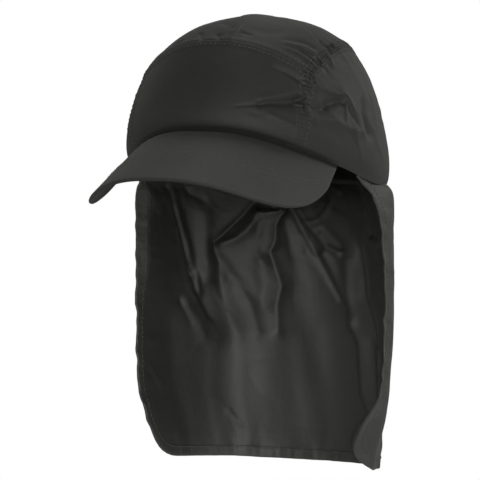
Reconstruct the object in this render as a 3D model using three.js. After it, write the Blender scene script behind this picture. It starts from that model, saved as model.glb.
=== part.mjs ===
// Legionnaire cap: a crown of five cloth panels, a curved brim, a sweatband, and a neck flap
// with a hem. Millimetres, +Z up. The cap faces -Y and +X is the wearer's left. The origin is
// the middle of the head opening, level with the crown's lower edge at the nape.
import * as THREE from 'three';

// Head opening, outside the cloth
const rimHalfWidth = 84;
const rimHalfLength = 102;
const foreheadRise = 37;
const earRise = 6;
const rimBlendBefore = 12;
const rimBlendAfter = 28;

// Crown
const crownHeight = 114;
const crownLean = 5;
const frontFullness = 2.36;
const backFullness = 2.59;
const puffOut = 3;
const puffHeight = 15;
const crownCloth = 1.2;
const seamGap = 0.4;
const seamRidge = 2;
const seamRidgeWidth = 9;

// Brim
const brimTurn = 65.6;
const brimLength = 64;
const brimSlope = 0.44;
const brimDrop = 60.5;
const brimDropPower = 2.36;
const brimFan = 0.11;
const brimTaper = 3.4;
const brimRound = 0.37;
const brimEnd = 0.985;
const brimThickness = 3;
const brimTab = 1;
const tabHeight = 8;
const neckThickness = 1.6;

// Sweatband
const bandHeight = 28;
const bandCloth = 1.2;
const bandLift = 1;

// Neck flap and its hem
const flapHalfWidth = 146;
const flapDrop = 202;
const flapTopTurn = 102;
const flapMidHalfWidth = 93;
const flapMidDepth = 90;
const flapMidTurn = 90.5;
const flapLowHalfWidth = 89;
const flapLowDepth = 87;
const flapLowTurn = 93;
const flapSpreadStart = 2.5;
const flapSpreadDrop = 18;
const flapCloth = 1;
const flapTuck = 8;
const flapSideRise = 8;
const flapNarrowFrom = 0.45;
const flapCorner = 28;
const cornerCurlLeft = 12;
const cornerCurlRight = 4;
const curlFromAcross = 0.8;
const curlFromDown = 0.7;
const hemWidth = 8;
const hemThickness = 2;
const hemTopDrop = 0.6;

// Clearance between pieces that touch, and between cloths that lie one inside the other
const seatGap = 0.4;
const layerGap = 0.5;

// The seams meet at places on a disc that is the crown seen flat: 1 is the rim, across is
// towards the wearer's left, forward is towards the brim. Turns are degrees from the front.
const frontSeamForward = 0.5;
const junctionAcross = 0.517;
const junctionForward = 0.415;
const sideSeamTurn = 44;
const backSeamTurn = 166;
const centreSeamShift = 0.07;
const centreSeamBend = 0.35;
const frontSeamBend = 0.6;
const sideSplit = 0.75;

// Distances in from the rim, as shares of the disc's radius, over which relief fades out
const dentClear = 0.06;
const foldFade = 0.16;
const ridgeFade = 0.08;
const rimNormalRadius = 0.97;

// Steps of the grids, and how strongly their rows crowd towards the rim
const halfColumns = 10;
const sideColumns = 22;
const sideRows = 10;
const sideCrowding = 1.6;
const brimStations = 30;
const brimSteps = 7;
const bandStations = 60;
const flapColumns = 28;
const cornerSteps = 4;
const flapRows = 16;
const flapCrowding = 1.4;

const degrees = Math.PI / 180;
const { lerp, smoothstep, clamp } = THREE.MathUtils;

// Creases of the crown: places on the disc, a width as a share of the rim's half width, and
// a rise as a share of the crown's height, positive outwards.
const crownFolds = [
  { across: 0.62, forward: 0.39, toAcross: 0.74, toForward: 0.23, width: 0.08, rise: 0.026 },
  { across: 0.74, forward: 0.23, toAcross: 0.78, toForward: 0.30, width: 0.08, rise: 0.018 },
  { across: 0.62, forward: 0.53, toAcross: 0.69, toForward: 0.35, width: 0.09, rise: -0.022 },
  { across: 0.77, forward: 0.10, toAcross: 0.84, toForward: 0.09, width: 0.10, rise: -0.018 },
  { across: 0.28, forward: 0.82, toAcross: 0.57, toForward: 0.55, width: 0.09, rise: -0.018 },
  { across: 0.40, forward: 0.82, toAcross: 0.62, toForward: 0.62, width: 0.08, rise: 0.014 },
  { across: 0.41, forward: 0.57, toAcross: 0.55, toForward: 0.50, width: 0.07, rise: -0.012 },
  { across: 0.80, forward: 0.38, toAcross: 0.84, toForward: 0.27, width: 0.10, rise: 0.016 },
  { across: 0.84, forward: 0.27, toAcross: 0.92, toForward: 0.21, width: 0.10, rise: 0.016 },
  { across: 0.50, forward: 0.31, toAcross: 0.38, toForward: 0.35, width: 0.05, rise: -0.012 },
  { across: 0.49, forward: 0.20, toAcross: 0.34, toForward: 0.22, width: 0.05, rise: -0.014 },
  { across: 0.45, forward: 0.07, toAcross: 0.29, toForward: 0.09, width: 0.05, rise: -0.012 },
  { across: 0.40, forward: -0.08, toAcross: 0.25, toForward: -0.06, width: 0.05, rise: -0.010 },
  { across: -0.64, forward: 0.40, toAcross: -0.76, toForward: 0.20, width: 0.09, rise: 0.016 },
  { across: -0.66, forward: 0.50, toAcross: -0.72, toForward: 0.34, width: 0.10, rise: -0.014 },
  { across: -0.78, forward: 0.06, toAcross: -0.84, toForward: -0.04, width: 0.10, rise: -0.014 },
];

// Folds of the flap: across is a share of its half width, down a share of its drop, width
// and rise shares of the half width. A negative rise stands in towards the neck.
const flapFolds = [
  { across: -0.82, down: 0.02, toAcross: -0.69, toDown: 0.22, width: 0.06, rise: -0.034 },
  { across: -0.69, down: 0.22, toAcross: -0.51, toDown: 0.61, width: 0.07, rise: -0.030 },
  { across: -0.72, down: 0.03, toAcross: -0.60, toDown: 0.25, width: 0.08, rise: 0.030 },
  { across: -0.60, down: 0.25, toAcross: -0.44, toDown: 0.56, width: 0.08, rise: 0.022 },
  { across: -0.27, down: 0.09, toAcross: -0.46, toDown: 0.23, width: 0.06, rise: -0.028 },
  { across: -0.46, down: 0.23, toAcross: -0.29, toDown: 0.47, width: 0.08, rise: -0.026 },
  { across: -0.38, down: 0.22, toAcross: -0.24, toDown: 0.13, width: 0.06, rise: 0.020 },
  { across: -0.14, down: 0.10, toAcross: -0.18, toDown: 0.43, width: 0.07, rise: -0.028 },
  { across: -0.30, down: 0.28, toAcross: -0.25, toDown: 0.42, width: 0.06, rise: 0.018 },
  { across: -0.27, down: 0.55, toAcross: -0.25, toDown: 1.00, width: 0.22, rise: -0.034 },
  { across: -0.10, down: 0.10, toAcross: 0.09, toDown: 0.25, width: 0.10, rise: 0.034 },
  { across: 0.09, down: 0.25, toAcross: 0.33, toDown: 0.55, width: 0.10, rise: 0.028 },
  { across: 0.34, down: 0.28, toAcross: 0.30, toDown: 0.95, width: 0.10, rise: -0.026 },
  { across: 0.55, down: 0.20, toAcross: 0.52, toDown: 0.90, width: 0.13, rise: 0.020 },
  { across: 0.78, down: 0.10, toAcross: 0.74, toDown: 0.75, width: 0.08, rise: -0.018 },
  { across: 0.12, down: 0.60, toAcross: 0.08, toDown: 1.00, width: 0.14, rise: 0.018 },
];

const point2 = (x, y) => new THREE.Vector2(x, y);

// The two tables in millimetres
const crownCreases = crownFolds.map((fold) => ({
  from: point2(fold.across * rimHalfWidth, fold.forward * rimHalfLength),
  to: point2(fold.toAcross * rimHalfWidth, fold.toForward * rimHalfLength),
  width: fold.width * rimHalfWidth,
  height: fold.rise * crownHeight,
}));
const flapCreases = flapFolds.map((fold) => ({
  from: point2(fold.across * flapHalfWidth, fold.down * flapDrop),
  to: point2(fold.toAcross * flapHalfWidth, fold.toDown * flapDrop),
  width: fold.width * flapHalfWidth,
  height: fold.rise * flapHalfWidth,
}));

function distanceToLine(point, from, to) {
  const along = to.clone().sub(from);
  const share = clamp(point.clone().sub(from).dot(along) / along.lengthSq(), 0, 1);
  return point.distanceTo(from.clone().addScaledVector(along, share));
}

// Sums the creases at a point: each is a ridge along a short line, bell-shaped across it.
function creaseRise(creases, point) {
  let rise = 0;
  for (const { from, to, width, height } of creases) {
    const distance = distanceToLine(point, from, to);
    rise += height * Math.exp(-((distance / width) ** 2));
  }
  return rise;
}

// Height of the bent sheet that the brim is cut from. It falls forwards and to both sides.
function bentSheetHeight(x, y) {
  const forward = -y - rimHalfLength;
  const side = Math.abs(x / rimHalfWidth) ** brimDropPower;
  return foreheadRise - brimSlope * forward - brimDrop * side;
}

// Height of the crown's lower edge. It follows the brim in front and is nearly level behind.
function rimHeight(turn) {
  const x = rimHalfWidth * Math.sin(turn);
  const y = -rimHalfLength * Math.cos(turn);
  const blendStart = brimTurn - rimBlendBefore;
  const away = smoothstep(Math.abs(turn) / degrees, blendStart, brimTurn + rimBlendAfter);
  return lerp(bentSheetHeight(x, y), (earRise * (1 + Math.cos(turn))) / 2, away);
}

function fullness(forward) {
  return lerp(backFullness, frontFullness, (1 + forward) / 2);
}

// Smooth outer surface of the crown over a place on the disc: a dome whose profile is a
// superellipse, puffed out a little just above the rim.
function crownSurface(across, forward) {
  const radius = Math.hypot(across, forward) || 1e-9;
  const turn = Math.atan2(across, forward);
  const polar = (Math.min(radius, 1) * Math.PI) / 2;
  const power = 2 / fullness(forward);
  const reach = Math.sin(polar) ** power;
  const rise = Math.max(Math.cos(polar), 0) ** power;
  const rim = rimHeight(turn);
  const above = (rise * crownHeight) / puffHeight;
  const puff = puffOut * above * Math.exp(1 - above);
  return new THREE.Vector3(
    (across / radius) * (rimHalfWidth * reach + puff),
    (-forward / radius) * (rimHalfLength * reach + puff) + crownLean * rise,
    rim + (crownHeight - rim) * rise,
  );
}

// Outward normal of the smooth crown. At the very rim it is taken a little above it.
function crownNormal(across, forward) {
  const radius = Math.hypot(across, forward);
  const shrink = Math.min(1, rimNormalRadius / Math.max(radius, 1e-9));
  const a = across * shrink;
  const b = forward * shrink;
  const step = 0.01;
  const alongA = crownSurface(a + step, b).sub(crownSurface(a - step, b));
  const alongB = crownSurface(a, b + step).sub(crownSurface(a, b - step));
  return alongB.cross(alongA).normalize();
}

// A point at a height above the rim and a depth inside the crown's outer surface.
function insideCrown(turn, height, depth) {
  const rise = clamp(height / (crownHeight - rimHeight(turn)), 0, 1);
  const power = 2 / fullness(Math.cos(turn));
  const radius = Math.acos(rise ** (1 / power)) / (Math.PI / 2);
  const across = radius * Math.sin(turn);
  const forward = radius * Math.cos(turn);
  return crownSurface(across, forward).addScaledVector(crownNormal(across, forward), -depth);
}

const rimPlace = (turn) => point2(Math.sin(turn * degrees), Math.cos(turn * degrees));

// Front seam across the crown, from one side junction to the other as share goes -1 to 1.
function frontSeam(share) {
  const forward = lerp(frontSeamForward, junctionForward, share * share);
  return point2(share * junctionAcross, forward);
}

// Seam along the middle of the top, from the front seam back to the rim.
function centreSeam(share) {
  const start = frontSeam(centreSeamShift / junctionAcross);
  const across = start.x * (1 - smoothstep(share, 0, centreSeamBend));
  return point2(across, lerp(start.y, -1, share));
}

// Seams of one side. side is 1 for the wearer's left and -1 for the right.
const lowerSideSeam = (side, share) => rimPlace(side * sideSeamTurn).lerp(frontSeam(side), share);
const upperSideSeam = (side, share) => frontSeam(side).lerp(rimPlace(side * backSeamTurn), share);

// The seams as straight stretches
const seamLines = [
  [centreSeam(0), centreSeam(centreSeamBend)],
  [centreSeam(centreSeamBend), centreSeam(1)],
];
for (const side of [-1, 1]) {
  seamLines.push([upperSideSeam(side, 0), upperSideSeam(side, 1)]);
  seamLines.push([lowerSideSeam(side, 0), lowerSideSeam(side, 1)]);
  seamLines.push([frontSeam(0), frontSeam(side * frontSeamBend)]);
  seamLines.push([frontSeam(side * frontSeamBend), frontSeam(side)]);
}

// Distance in millimetres from a place on the disc to the nearest seam.
function seamDistance(place) {
  const distances = seamLines.map(([from, to]) => distanceToLine(place, from, to));
  return Math.min(...distances) * rimHalfWidth;
}

// How far the cloth stands off the smooth crown: folds, and a low ridge along each seam.
// It fades out at the rim, where the cloth lies against the sweatband.
function crownRelief(place) {
  const inFromRim = 1 - place.length();
  const ridge = seamRidge * Math.exp(-seamDistance(place) / seamRidgeWidth);
  const folds = creaseRise(crownCreases, point2(place.x * rimHalfWidth, place.y * rimHalfLength));
  const foldShare = smoothstep(inFromRim, folds < 0 ? dentClear : 0, foldFade);
  return ridge * smoothstep(inFromRim, 0, ridgeFade) + folds * foldShare;
}

function crownClothPoint(place, depth) {
  const off = crownRelief(place) - depth;
  const normal = crownNormal(place.x, place.y);
  return crownSurface(place.x, place.y).addScaledVector(normal, off);
}

// A four-sided patch of the disc that fills in between its edges. The edges are functions
// of a share from 0 to 1: bottom and top run the same way, and so do left and right.
function patchBetween({ bottom, top, left, right }) {
  return (u, v) => {
    const point = bottom(u).multiplyScalar(1 - v);
    point.addScaledVector(top(u), v);
    point.addScaledVector(left(v), 1 - u);
    point.addScaledVector(right(v), u);
    point.addScaledVector(bottom(0), -(1 - u) * (1 - v));
    point.addScaledVector(bottom(1), -u * (1 - v));
    point.addScaledVector(top(0), -(1 - u) * v);
    point.addScaledVector(top(1), -u * v);
    return point;
  };
}

// Moves a share in from a sewn edge by half the seam's gap, on the crown's real size.
function insetShare(share, length, sewnStart, sewnEnd) {
  const half = seamGap / 2 / length;
  return lerp(sewnStart ? half : 0, sewnEnd ? 1 - half : 1, share);
}

// Closes a grid of outer points and a grid of inner points into one solid wall.
function wallGeometry(outer, inner) {
  const lastRow = outer.length - 1;
  const lastColumn = outer[0].length - 1;
  const outerCount = outer.length * outer[0].length;
  const outerAt = (row, column) => row * (lastColumn + 1) + column;
  const innerAt = (row, column) => outerCount + outerAt(row, column);
  const triangles = [];
  const quad = (a, b, c, d) => triangles.push(a, b, c, a, c, d);
  for (let row = 0; row < lastRow; row++) {
    for (let column = 0; column < lastColumn; column++) {
      const corners = [[row, column], [row, column + 1], [row + 1, column + 1], [row + 1, column]];
      quad(...corners.map((corner) => outerAt(...corner)));
      quad(...corners.map((corner) => innerAt(...corner)).reverse());
    }
  }
  const edge = (from, to) => quad(outerAt(...to), outerAt(...from), innerAt(...from), innerAt(...to));
  for (let column = 0; column < lastColumn; column++) {
    edge([0, column], [0, column + 1]);
    edge([lastRow, column + 1], [lastRow, column]);
  }
  for (let row = 0; row < lastRow; row++) {
    edge([row + 1, 0], [row, 0]);
    edge([row, lastColumn], [row + 1, lastColumn]);
  }
  return outwardGeometry([...outer.flat(), ...inner.flat()], triangles);
}

// Joins matching closed sections into one solid. A ring joins its last section to its first,
// and an open run is capped by the triangles given, which index one section.
function loftGeometry(sections, capTriangles) {
  const ring = capTriangles === null;
  const count = sections.length;
  const corners = sections[0].length;
  const triangles = [];
  for (let s = 0; s < (ring ? count : count - 1); s++) {
    const next = (s + 1) % count;
    for (let c = 0; c < corners; c++) {
      const d = (c + 1) % corners;
      const [a, b, e, f] = [s * corners + c, s * corners + d, next * corners + d, next * corners + c];
      triangles.push(a, b, e, a, e, f);
    }
  }
  for (const [a, b, c] of capTriangles ?? []) {
    const end = (count - 1) * corners;
    triangles.push(a, c, b, end + a, end + b, end + c);
  }
  return outwardGeometry(sections.flat(), triangles);
}

// Builds the geometry and turns its faces round if they would point inwards.
function outwardGeometry(points, triangles) {
  let volume = 0;
  for (let i = 0; i < triangles.length; i += 3) {
    const [a, b, c] = [points[triangles[i]], points[triangles[i + 1]], points[triangles[i + 2]]];
    volume += a.dot(b.clone().cross(c));
  }
  const index = volume < 0 ? triangles.slice().reverse() : triangles;
  const geometry = new THREE.BufferGeometry().setFromPoints(points);
  geometry.setIndex(index);
  geometry.computeVertexNormals();
  return geometry;
}

// One crown panel: a patch of the disc, its rows and columns, and which edges are sewn.
function crownPanel(patch, columnShares, rowShares, sewn) {
  const length = (from, to) => crownSurface(...from).distanceTo(crownSurface(...to));
  const outer = [];
  const inner = [];
  for (const v of rowShares) {
    const outerRow = [];
    const innerRow = [];
    for (const u of columnShares) {
      const height = length(patch(u, 0).toArray(), patch(u, 1).toArray());
      const width = length(patch(0, v).toArray(), patch(1, v).toArray());
      const place = patch(
        insetShare(u, width, sewn.left, sewn.right),
        insetShare(v, height, sewn.bottom, sewn.top),
      );
      outerRow.push(crownClothPoint(place, 0));
      innerRow.push(crownClothPoint(place, crownCloth));
    }
    outer.push(outerRow);
    inner.push(innerRow);
  }
  return wallGeometry(outer, inner);
}

const evenShares = (steps) => Array.from({ length: steps + 1 }, (_, i) => i / steps);

// Rows lie closer together near the rim, where the cloth turns under.
const rimwardShares = evenShares(sideRows).map((share) => share ** sideCrowding);

function frontPanel() {
  const patch = patchBetween({
    bottom: (u) => rimPlace(lerp(-sideSeamTurn, sideSeamTurn, u)),
    top: (u) => frontSeam(lerp(-1, 1, u)),
    left: (v) => lowerSideSeam(-1, v),
    right: (v) => lowerSideSeam(1, v),
  });
  const sewn = { bottom: false, top: true, left: true, right: true };
  return crownPanel(patch, evenShares(2 * halfColumns), rimwardShares, sewn);
}

function sidePanel(side) {
  const patch = patchBetween({
    bottom: (u) => rimPlace(side * lerp(sideSeamTurn, backSeamTurn, u)),
    top: (u) => upperSideSeam(side, u * sideSplit),
    left: (v) => lowerSideSeam(side, v),
    right: (v) => upperSideSeam(side, lerp(1, sideSplit, v)),
  });
  const sewn = { bottom: false, top: true, left: true, right: true };
  return crownPanel(patch, evenShares(sideColumns), rimwardShares, sewn);
}

function topPanel(side) {
  const start = centreSeamShift / junctionAcross;
  const patch = patchBetween({
    bottom: (u) => frontSeam(lerp(start, side, u)),
    top: (u) => rimPlace(side * lerp(180, backSeamTurn, u)),
    left: (v) => centreSeam(v),
    right: (v) => upperSideSeam(side, v),
  });
  const alongSide = evenShares(sideColumns).map((share) => share * sideSplit);
  const alongBack = rimwardShares.map((share) => lerp(1, sideSplit, share)).reverse();
  const sewn = { bottom: true, top: false, left: true, right: true };
  return crownPanel(patch, evenShares(halfColumns), [...alongSide, ...alongBack.slice(1)], sewn);
}

// Depth inside the crown of the cloth that is sewn in against it, and of the sweatband.
const tuckDepth = crownCloth + layerGap;
const bandDepth = tuckDepth + Math.max(brimTab, flapCloth) + layerGap;

// Top of the brim at a share of its length out from the rim.
function brimTop(turn, share, length) {
  const rimX = rimHalfWidth * Math.sin(turn);
  const rimY = -rimHalfLength * Math.cos(turn);
  const heading = brimFan * turn;
  const x = rimX + share * length * Math.sin(heading);
  const y = rimY - share * length * Math.cos(heading);
  const sag = (bentSheetHeight(rimX, rimY) - rimHeight(turn)) * (1 - share) ** 2;
  return new THREE.Vector3(x, y, bentSheetHeight(x, y) - sag - seatGap);
}

function bentSheetNormal(x, y) {
  const step = 0.1;
  const fallX = bentSheetHeight(x + step, y) - bentSheetHeight(x - step, y);
  const fallY = bentSheetHeight(x, y + step) - bentSheetHeight(x, y - step);
  return new THREE.Vector3(-fallX, -fallY, 2 * step).normalize();
}

// One cut through the brim: down the tab that is sewn inside the crown, out along the top,
// round the edge, and back along the underside.
function brimSection(share) {
  const turn = share * brimTurn * degrees;
  const length = brimLength * (1 - Math.abs(share) ** brimTaper) ** brimRound;
  const tabOut = insideCrown(turn, 0, tuckDepth).setZ(rimHeight(turn) - seatGap);
  const tabIn = insideCrown(turn, 0, tuckDepth + brimTab).setZ(tabOut.z - neckThickness);
  const section = [insideCrown(turn, tabHeight, tuckDepth), tabOut];
  const under = [];
  for (let step = 0; step <= brimSteps; step++) {
    const top = brimTop(turn, step / brimSteps, length);
    section.push(top);
    if (step > 0) {
      under.unshift(top.clone().addScaledVector(bentSheetNormal(top.x, top.y), -brimThickness));
    }
  }
  const [beforeEdge, edge] = section.slice(-2);
  const outwards = edge.clone().sub(beforeEdge).normalize();
  const nose = edge.clone().lerp(under[0], 0.5);
  section.push(nose.addScaledVector(outwards, brimThickness / 3));
  section.push(...under);
  section.push(tabIn);
  section.push(insideCrown(turn, tabHeight, tuckDepth + brimTab));
  return section;
}

// Fills one cut through the brim with triangles: each point of the top to its fellow below.
function brimCap(corners) {
  const under = (step) => corners - 2 - step;
  const top = (step) => 2 + step;
  const triangles = [[0, 1, under(0)], [0, under(0), corners - 1], [1, top(0), under(0)]];
  for (let step = 0; step < brimSteps; step++) {
    triangles.push([top(step), top(step + 1), under(step + 1)]);
    triangles.push([top(step), under(step + 1), under(step)]);
  }
  triangles.push([top(brimSteps), top(brimSteps) + 1, under(brimSteps)]);
  return triangles;
}

function brim() {
  const sections = evenShares(brimStations).map((share) => brimSection(lerp(-brimEnd, brimEnd, share)));
  return loftGeometry(sections, brimCap(sections[0].length));
}

function sweatband() {
  const sections = [];
  for (let station = 0; station < bandStations; station++) {
    const turn = (station / bandStations) * 2 * Math.PI - Math.PI;
    const at = (share, depth) => insideCrown(turn, lerp(bandLift, bandHeight, share), depth);
    const inside = bandDepth + bandCloth;
    const outerFace = [0, 0.5, 1].map((share) => at(share, bandDepth));
    const innerFace = [1, 0.5, 0].map((share) => at(share, inside));
    sections.push([...outerFace, ...innerFace]);
  }
  return loftGeometry(sections, null);
}

const onEllipse = (halfWidth, depth, angle) =>
  new THREE.Vector3(halfWidth * Math.sin(angle), depth * Math.cos(angle), 0);

// The flap before it folds, in the plane it was cut in: across from the middle, and down
// from the rim. Above the rim it lies inside the crown. Below, it hangs in a half ellipse.
function flapSmooth(across, down) {
  const share = across / flapHalfWidth;
  const side = across < 0 ? -1 : 1;
  const turn = side * (Math.PI - Math.abs(share) * flapTopTurn * degrees);
  const depth = tuckDepth + flapCloth / 2;
  if (down < 0) return insideCrown(turn, -down, depth);
  const top = insideCrown(turn, 0, depth);
  const mid = onEllipse(flapMidHalfWidth, flapMidDepth, share * flapMidTurn * degrees);
  const low = onEllipse(flapLowHalfWidth, flapLowDepth, share * flapLowTurn * degrees);
  const fallen = down / flapDrop;
  const spreading = Math.max(down - flapSpreadStart, 0) / flapSpreadDrop;
  const point = top.clone().lerp(mid, 1 - Math.exp(-spreading));
  point.add(low.sub(mid).multiplyScalar(smoothstep(fallen, flapNarrowFrom, 1)));
  const curl = across > 0 ? cornerCurlLeft : cornerCurlRight;
  const nearSide = smoothstep(Math.abs(share), curlFromAcross, 1);
  point.x -= side * curl * nearSide * smoothstep(fallen, curlFromDown, 1);
  return point.setZ(rimHeight(turn) * (1 - fallen) - down);
}

// Outward normal of a sheet given as a function of across and down.
function sheetNormal(sheet, across, down) {
  const step = 0.5;
  const alongAcross = sheet(across + step, down).sub(sheet(across - step, down));
  const alongDown = sheet(across, down + step).sub(sheet(across, down - step));
  return alongDown.cross(alongAcross).normalize();
}

// The flap with its folds. They fade out at the rim, where the cloth is sewn flat.
function flapFolded(across, down) {
  const rise = creaseRise(flapCreases, point2(across, down)) * smoothstep(down, 0, flapTuck);
  return flapSmooth(across, down).addScaledVector(sheetNormal(flapSmooth, across, down), rise);
}

function flapFace(across, down, off) {
  return flapFolded(across, down).addScaledVector(sheetNormal(flapFolded, across, down), off);
}

// How far down the cloth reaches at a place across, a margin in from the flap's outer edge:
// a shallow curve with rounded corners.
function flapReach(across, margin) {
  const radius = flapCorner - margin;
  const intoCorner = Math.max(Math.abs(across) - (flapHalfWidth - flapCorner), 0);
  const corner = radius - Math.sqrt(Math.max(radius ** 2 - intoCorner ** 2, 0));
  const rise = flapSideRise * (across / flapHalfWidth) ** 2;
  return flapDrop - margin - rise - corner;
}

// Places across the flap, a margin in from its edge. They crowd round the corners.
function flapPlaces(margin) {
  const straight = flapHalfWidth - flapCorner;
  const middle = evenShares(flapColumns).map((share) => lerp(-straight, straight, share));
  const corner = [];
  for (let step = 1; step <= cornerSteps; step++) {
    const angle = (step / cornerSteps) * (Math.PI / 2);
    corner.push(straight + (flapCorner - margin) * Math.sin(angle));
  }
  return [...corner.map((place) => -place).reverse(), ...middle, ...corner];
}

// Rows of the flap lie closer together near the rim, where it spreads out from the crown.
const hangingShares = evenShares(flapRows).map((share) => share ** flapCrowding);

function neckFlap() {
  const margin = hemWidth + seatGap;
  const places = flapPlaces(margin);
  const tucked = places.map((across) => [across, -flapTuck]);
  const hanging = hangingShares.map((share) =>
    places.map((across) => [across, share * flapReach(across, margin)]),
  );
  const rows = [tucked, ...hanging];
  const face = (off) => rows.map((row) => row.map(([across, down]) => flapFace(across, down, off)));
  return wallGeometry(face(flapCloth / 2), face(-flapCloth / 2));
}

// The line of the flap's edge, a margin in from the outermost one: down one side, along the
// bottom and up the other.
function hemLine(margin) {
  const places = flapPlaces(margin);
  const side = places[places.length - 1];
  const sideReach = flapReach(side, margin);
  const downs = hangingShares.slice(0, -1).map((share) => Math.max(share * sideReach, hemTopDrop));
  const leftSide = downs.map((down) => [-side, down]);
  const bottom = places.map((across) => [across, flapReach(across, margin)]);
  const rightSide = downs.map((down) => [side, down]).reverse();
  return [...leftSide, ...bottom, ...rightSide];
}

function flapHem() {
  const outerLine = hemLine(0);
  const innerLine = hemLine(hemWidth);
  const half = hemThickness / 2;
  const sections = outerLine.map((outer, station) => {
    const inner = innerLine[station];
    return [
      flapFace(...outer, half),
      flapFace(...inner, half),
      flapFace(...inner, -half),
      flapFace(...outer, -half),
    ];
  });
  return loftGeometry(sections, [[0, 1, 2], [0, 2, 3]]);
}

const shellCloth = new THREE.MeshStandardMaterial({ color: 0x343432, roughness: 0.62, metalness: 0 });
const brimCloth = new THREE.MeshStandardMaterial({ color: 0x3b3b39, roughness: 0.6, metalness: 0 });
const bandTwill = new THREE.MeshStandardMaterial({ color: 0x1c1c1c, roughness: 0.85, metalness: 0 });

const pieces = [
  ['front_panel', frontPanel(), shellCloth],
  ['top_panel_left', topPanel(1), shellCloth],
  ['top_panel_right', topPanel(-1), shellCloth],
  ['side_panel_left', sidePanel(1), shellCloth],
  ['side_panel_right', sidePanel(-1), shellCloth],
  ['brim', brim(), brimCloth],
  ['sweatband', sweatband(), bandTwill],
  ['neck_flap', neckFlap(), shellCloth],
  ['flap_hem', flapHem(), shellCloth],
];

const cap = new THREE.Group();
for (const [name, geometry, material] of pieces) {
  const mesh = new THREE.Mesh(geometry, material);
  mesh.name = name;
  cap.add(mesh);
}

export default cap;
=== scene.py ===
import math

import bpy
import numpy as np
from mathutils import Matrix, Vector


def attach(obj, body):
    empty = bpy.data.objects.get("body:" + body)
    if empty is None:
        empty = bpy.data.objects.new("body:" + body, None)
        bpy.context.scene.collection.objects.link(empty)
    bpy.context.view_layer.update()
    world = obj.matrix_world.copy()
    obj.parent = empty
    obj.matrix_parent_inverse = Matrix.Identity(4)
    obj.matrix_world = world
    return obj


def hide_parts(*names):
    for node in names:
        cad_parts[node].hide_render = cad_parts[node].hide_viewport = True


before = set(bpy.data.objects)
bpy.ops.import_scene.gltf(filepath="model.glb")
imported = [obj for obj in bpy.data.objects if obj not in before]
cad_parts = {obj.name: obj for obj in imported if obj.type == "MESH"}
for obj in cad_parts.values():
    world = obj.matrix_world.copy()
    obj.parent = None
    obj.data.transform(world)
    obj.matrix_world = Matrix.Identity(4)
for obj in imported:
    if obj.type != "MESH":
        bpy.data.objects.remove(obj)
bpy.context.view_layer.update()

# Legionnaire cap: cloth crown, stitched brim, sweatband and hanging neck flap.
# Shapes are worked out in millimetres and scaled to metres when the mesh is made.
print("frame loaded:", ", ".join(sorted(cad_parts)))


# Camera at the photograph's angle

cameraPlace = {
    "azimuth": 23.7,
    "elevation": 3.0,
    "distance": 1.6,
    "aimRight": -0.0126,
    "aimUp": -0.0385,
    "lens": 174.9,
    "sensor": 36,
    "farClip": 100,
}


# Right, up and back of a camera that circles the object.
def viewAxes(azimuth, elevation):
    a, e = math.radians(azimuth), math.radians(elevation)
    right = Vector((math.cos(a), math.sin(a), 0))
    back = Vector((math.sin(a) * math.cos(e), -math.cos(a) * math.cos(e), math.sin(e)))
    return right, back.cross(right), back


# Where the camera stands: moved from the origin along each of its own three axes.
def cameraPosition(right, up, back):
    return right * cameraPlace["aimRight"] + up * cameraPlace["aimUp"] + back * cameraPlace["distance"]


# The photograph's camera: a long lens at that place, which looks straight along its third axis.
def placeCamera():
    right, up, back = viewAxes(cameraPlace["azimuth"], cameraPlace["elevation"])
    lens = bpy.data.cameras.new("photoCamera")
    lens.lens = cameraPlace["lens"]
    lens.sensor_width = cameraPlace["sensor"]
    lens.clip_end = cameraPlace["farClip"]
    camera = bpy.data.objects.new("photoCamera", lens)
    bpy.context.collection.objects.link(camera)
    camera.location = cameraPosition(right, up, back)
    camera.rotation_mode = "QUATERNION"
    camera.rotation_quaternion = (-back).to_track_quat("-Z", "Y")
    bpy.context.scene.camera = camera


placeCamera()
print("camera placed")


# Small tools for arrays

# A share of the way from a to b.
def mix(a, b, share):
    return a + (b - a) * share


# Rises from 0 at low to 1 at high, level at both ends: 3 x squared minus 2 x cubed.
def smoothStep(value, low, high):
    share = np.clip((value - low) / (high - low), 0, 1)
    return share * share * (3 - 2 * share)


# Each vector over its own length.
def unit(vectors):
    return vectors / np.maximum(np.linalg.norm(vectors, axis=-1, keepdims=True), 1e-12)


# Random values on a cubic lattice of that size, from -1 to 1, eased from one to the next.
def softNoise(points, size, seed):
    at = points / size + seed * np.array([7.13, 3.71, 5.37])
    cell = np.floor(at).astype(np.int64)
    part = at - cell
    part = part * part * (3 - 2 * part)
    total = np.zeros(at.shape[:-1])
    for step in np.ndindex(2, 2, 2):
        a, b, c = np.moveaxis(cell + np.array(step), -1, 0)
        n = (a * 374761393 + b * 668265263 + c * 1442695041 + seed * 362437) & 0xFFFFFFFF
        n = ((n ^ (n >> 13)) * 1274126177) & 0xFFFFFFFF
        weight = np.where(step, part, 1 - part).prod(-1)
        total += weight * ((n ^ (n >> 16)) / 2147483648.0 - 1)
    return total


# Flat places as points, for noise and creases laid out on flat cloth.
def onSheet(x, y):
    x, y = np.broadcast_arrays(np.asarray(x, float), np.asarray(y, float))
    return np.stack([x, y, np.zeros_like(x)], axis=-1)


# Sharp little ridges where bent noise crosses zero, in two sizes, like creased thin cloth.
def crumple(points, size, seed):
    bend = points + size * 0.5 * softNoise(points, size * 1.3, seed + 1)[..., None]
    coarse = 1 - np.abs(softNoise(bend, size, seed + 3))
    fine = 1 - np.abs(softNoise(bend, size * 0.45, seed + 4))
    return coarse ** 5 + 0.4 * fine ** 5 - 0.35


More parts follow.
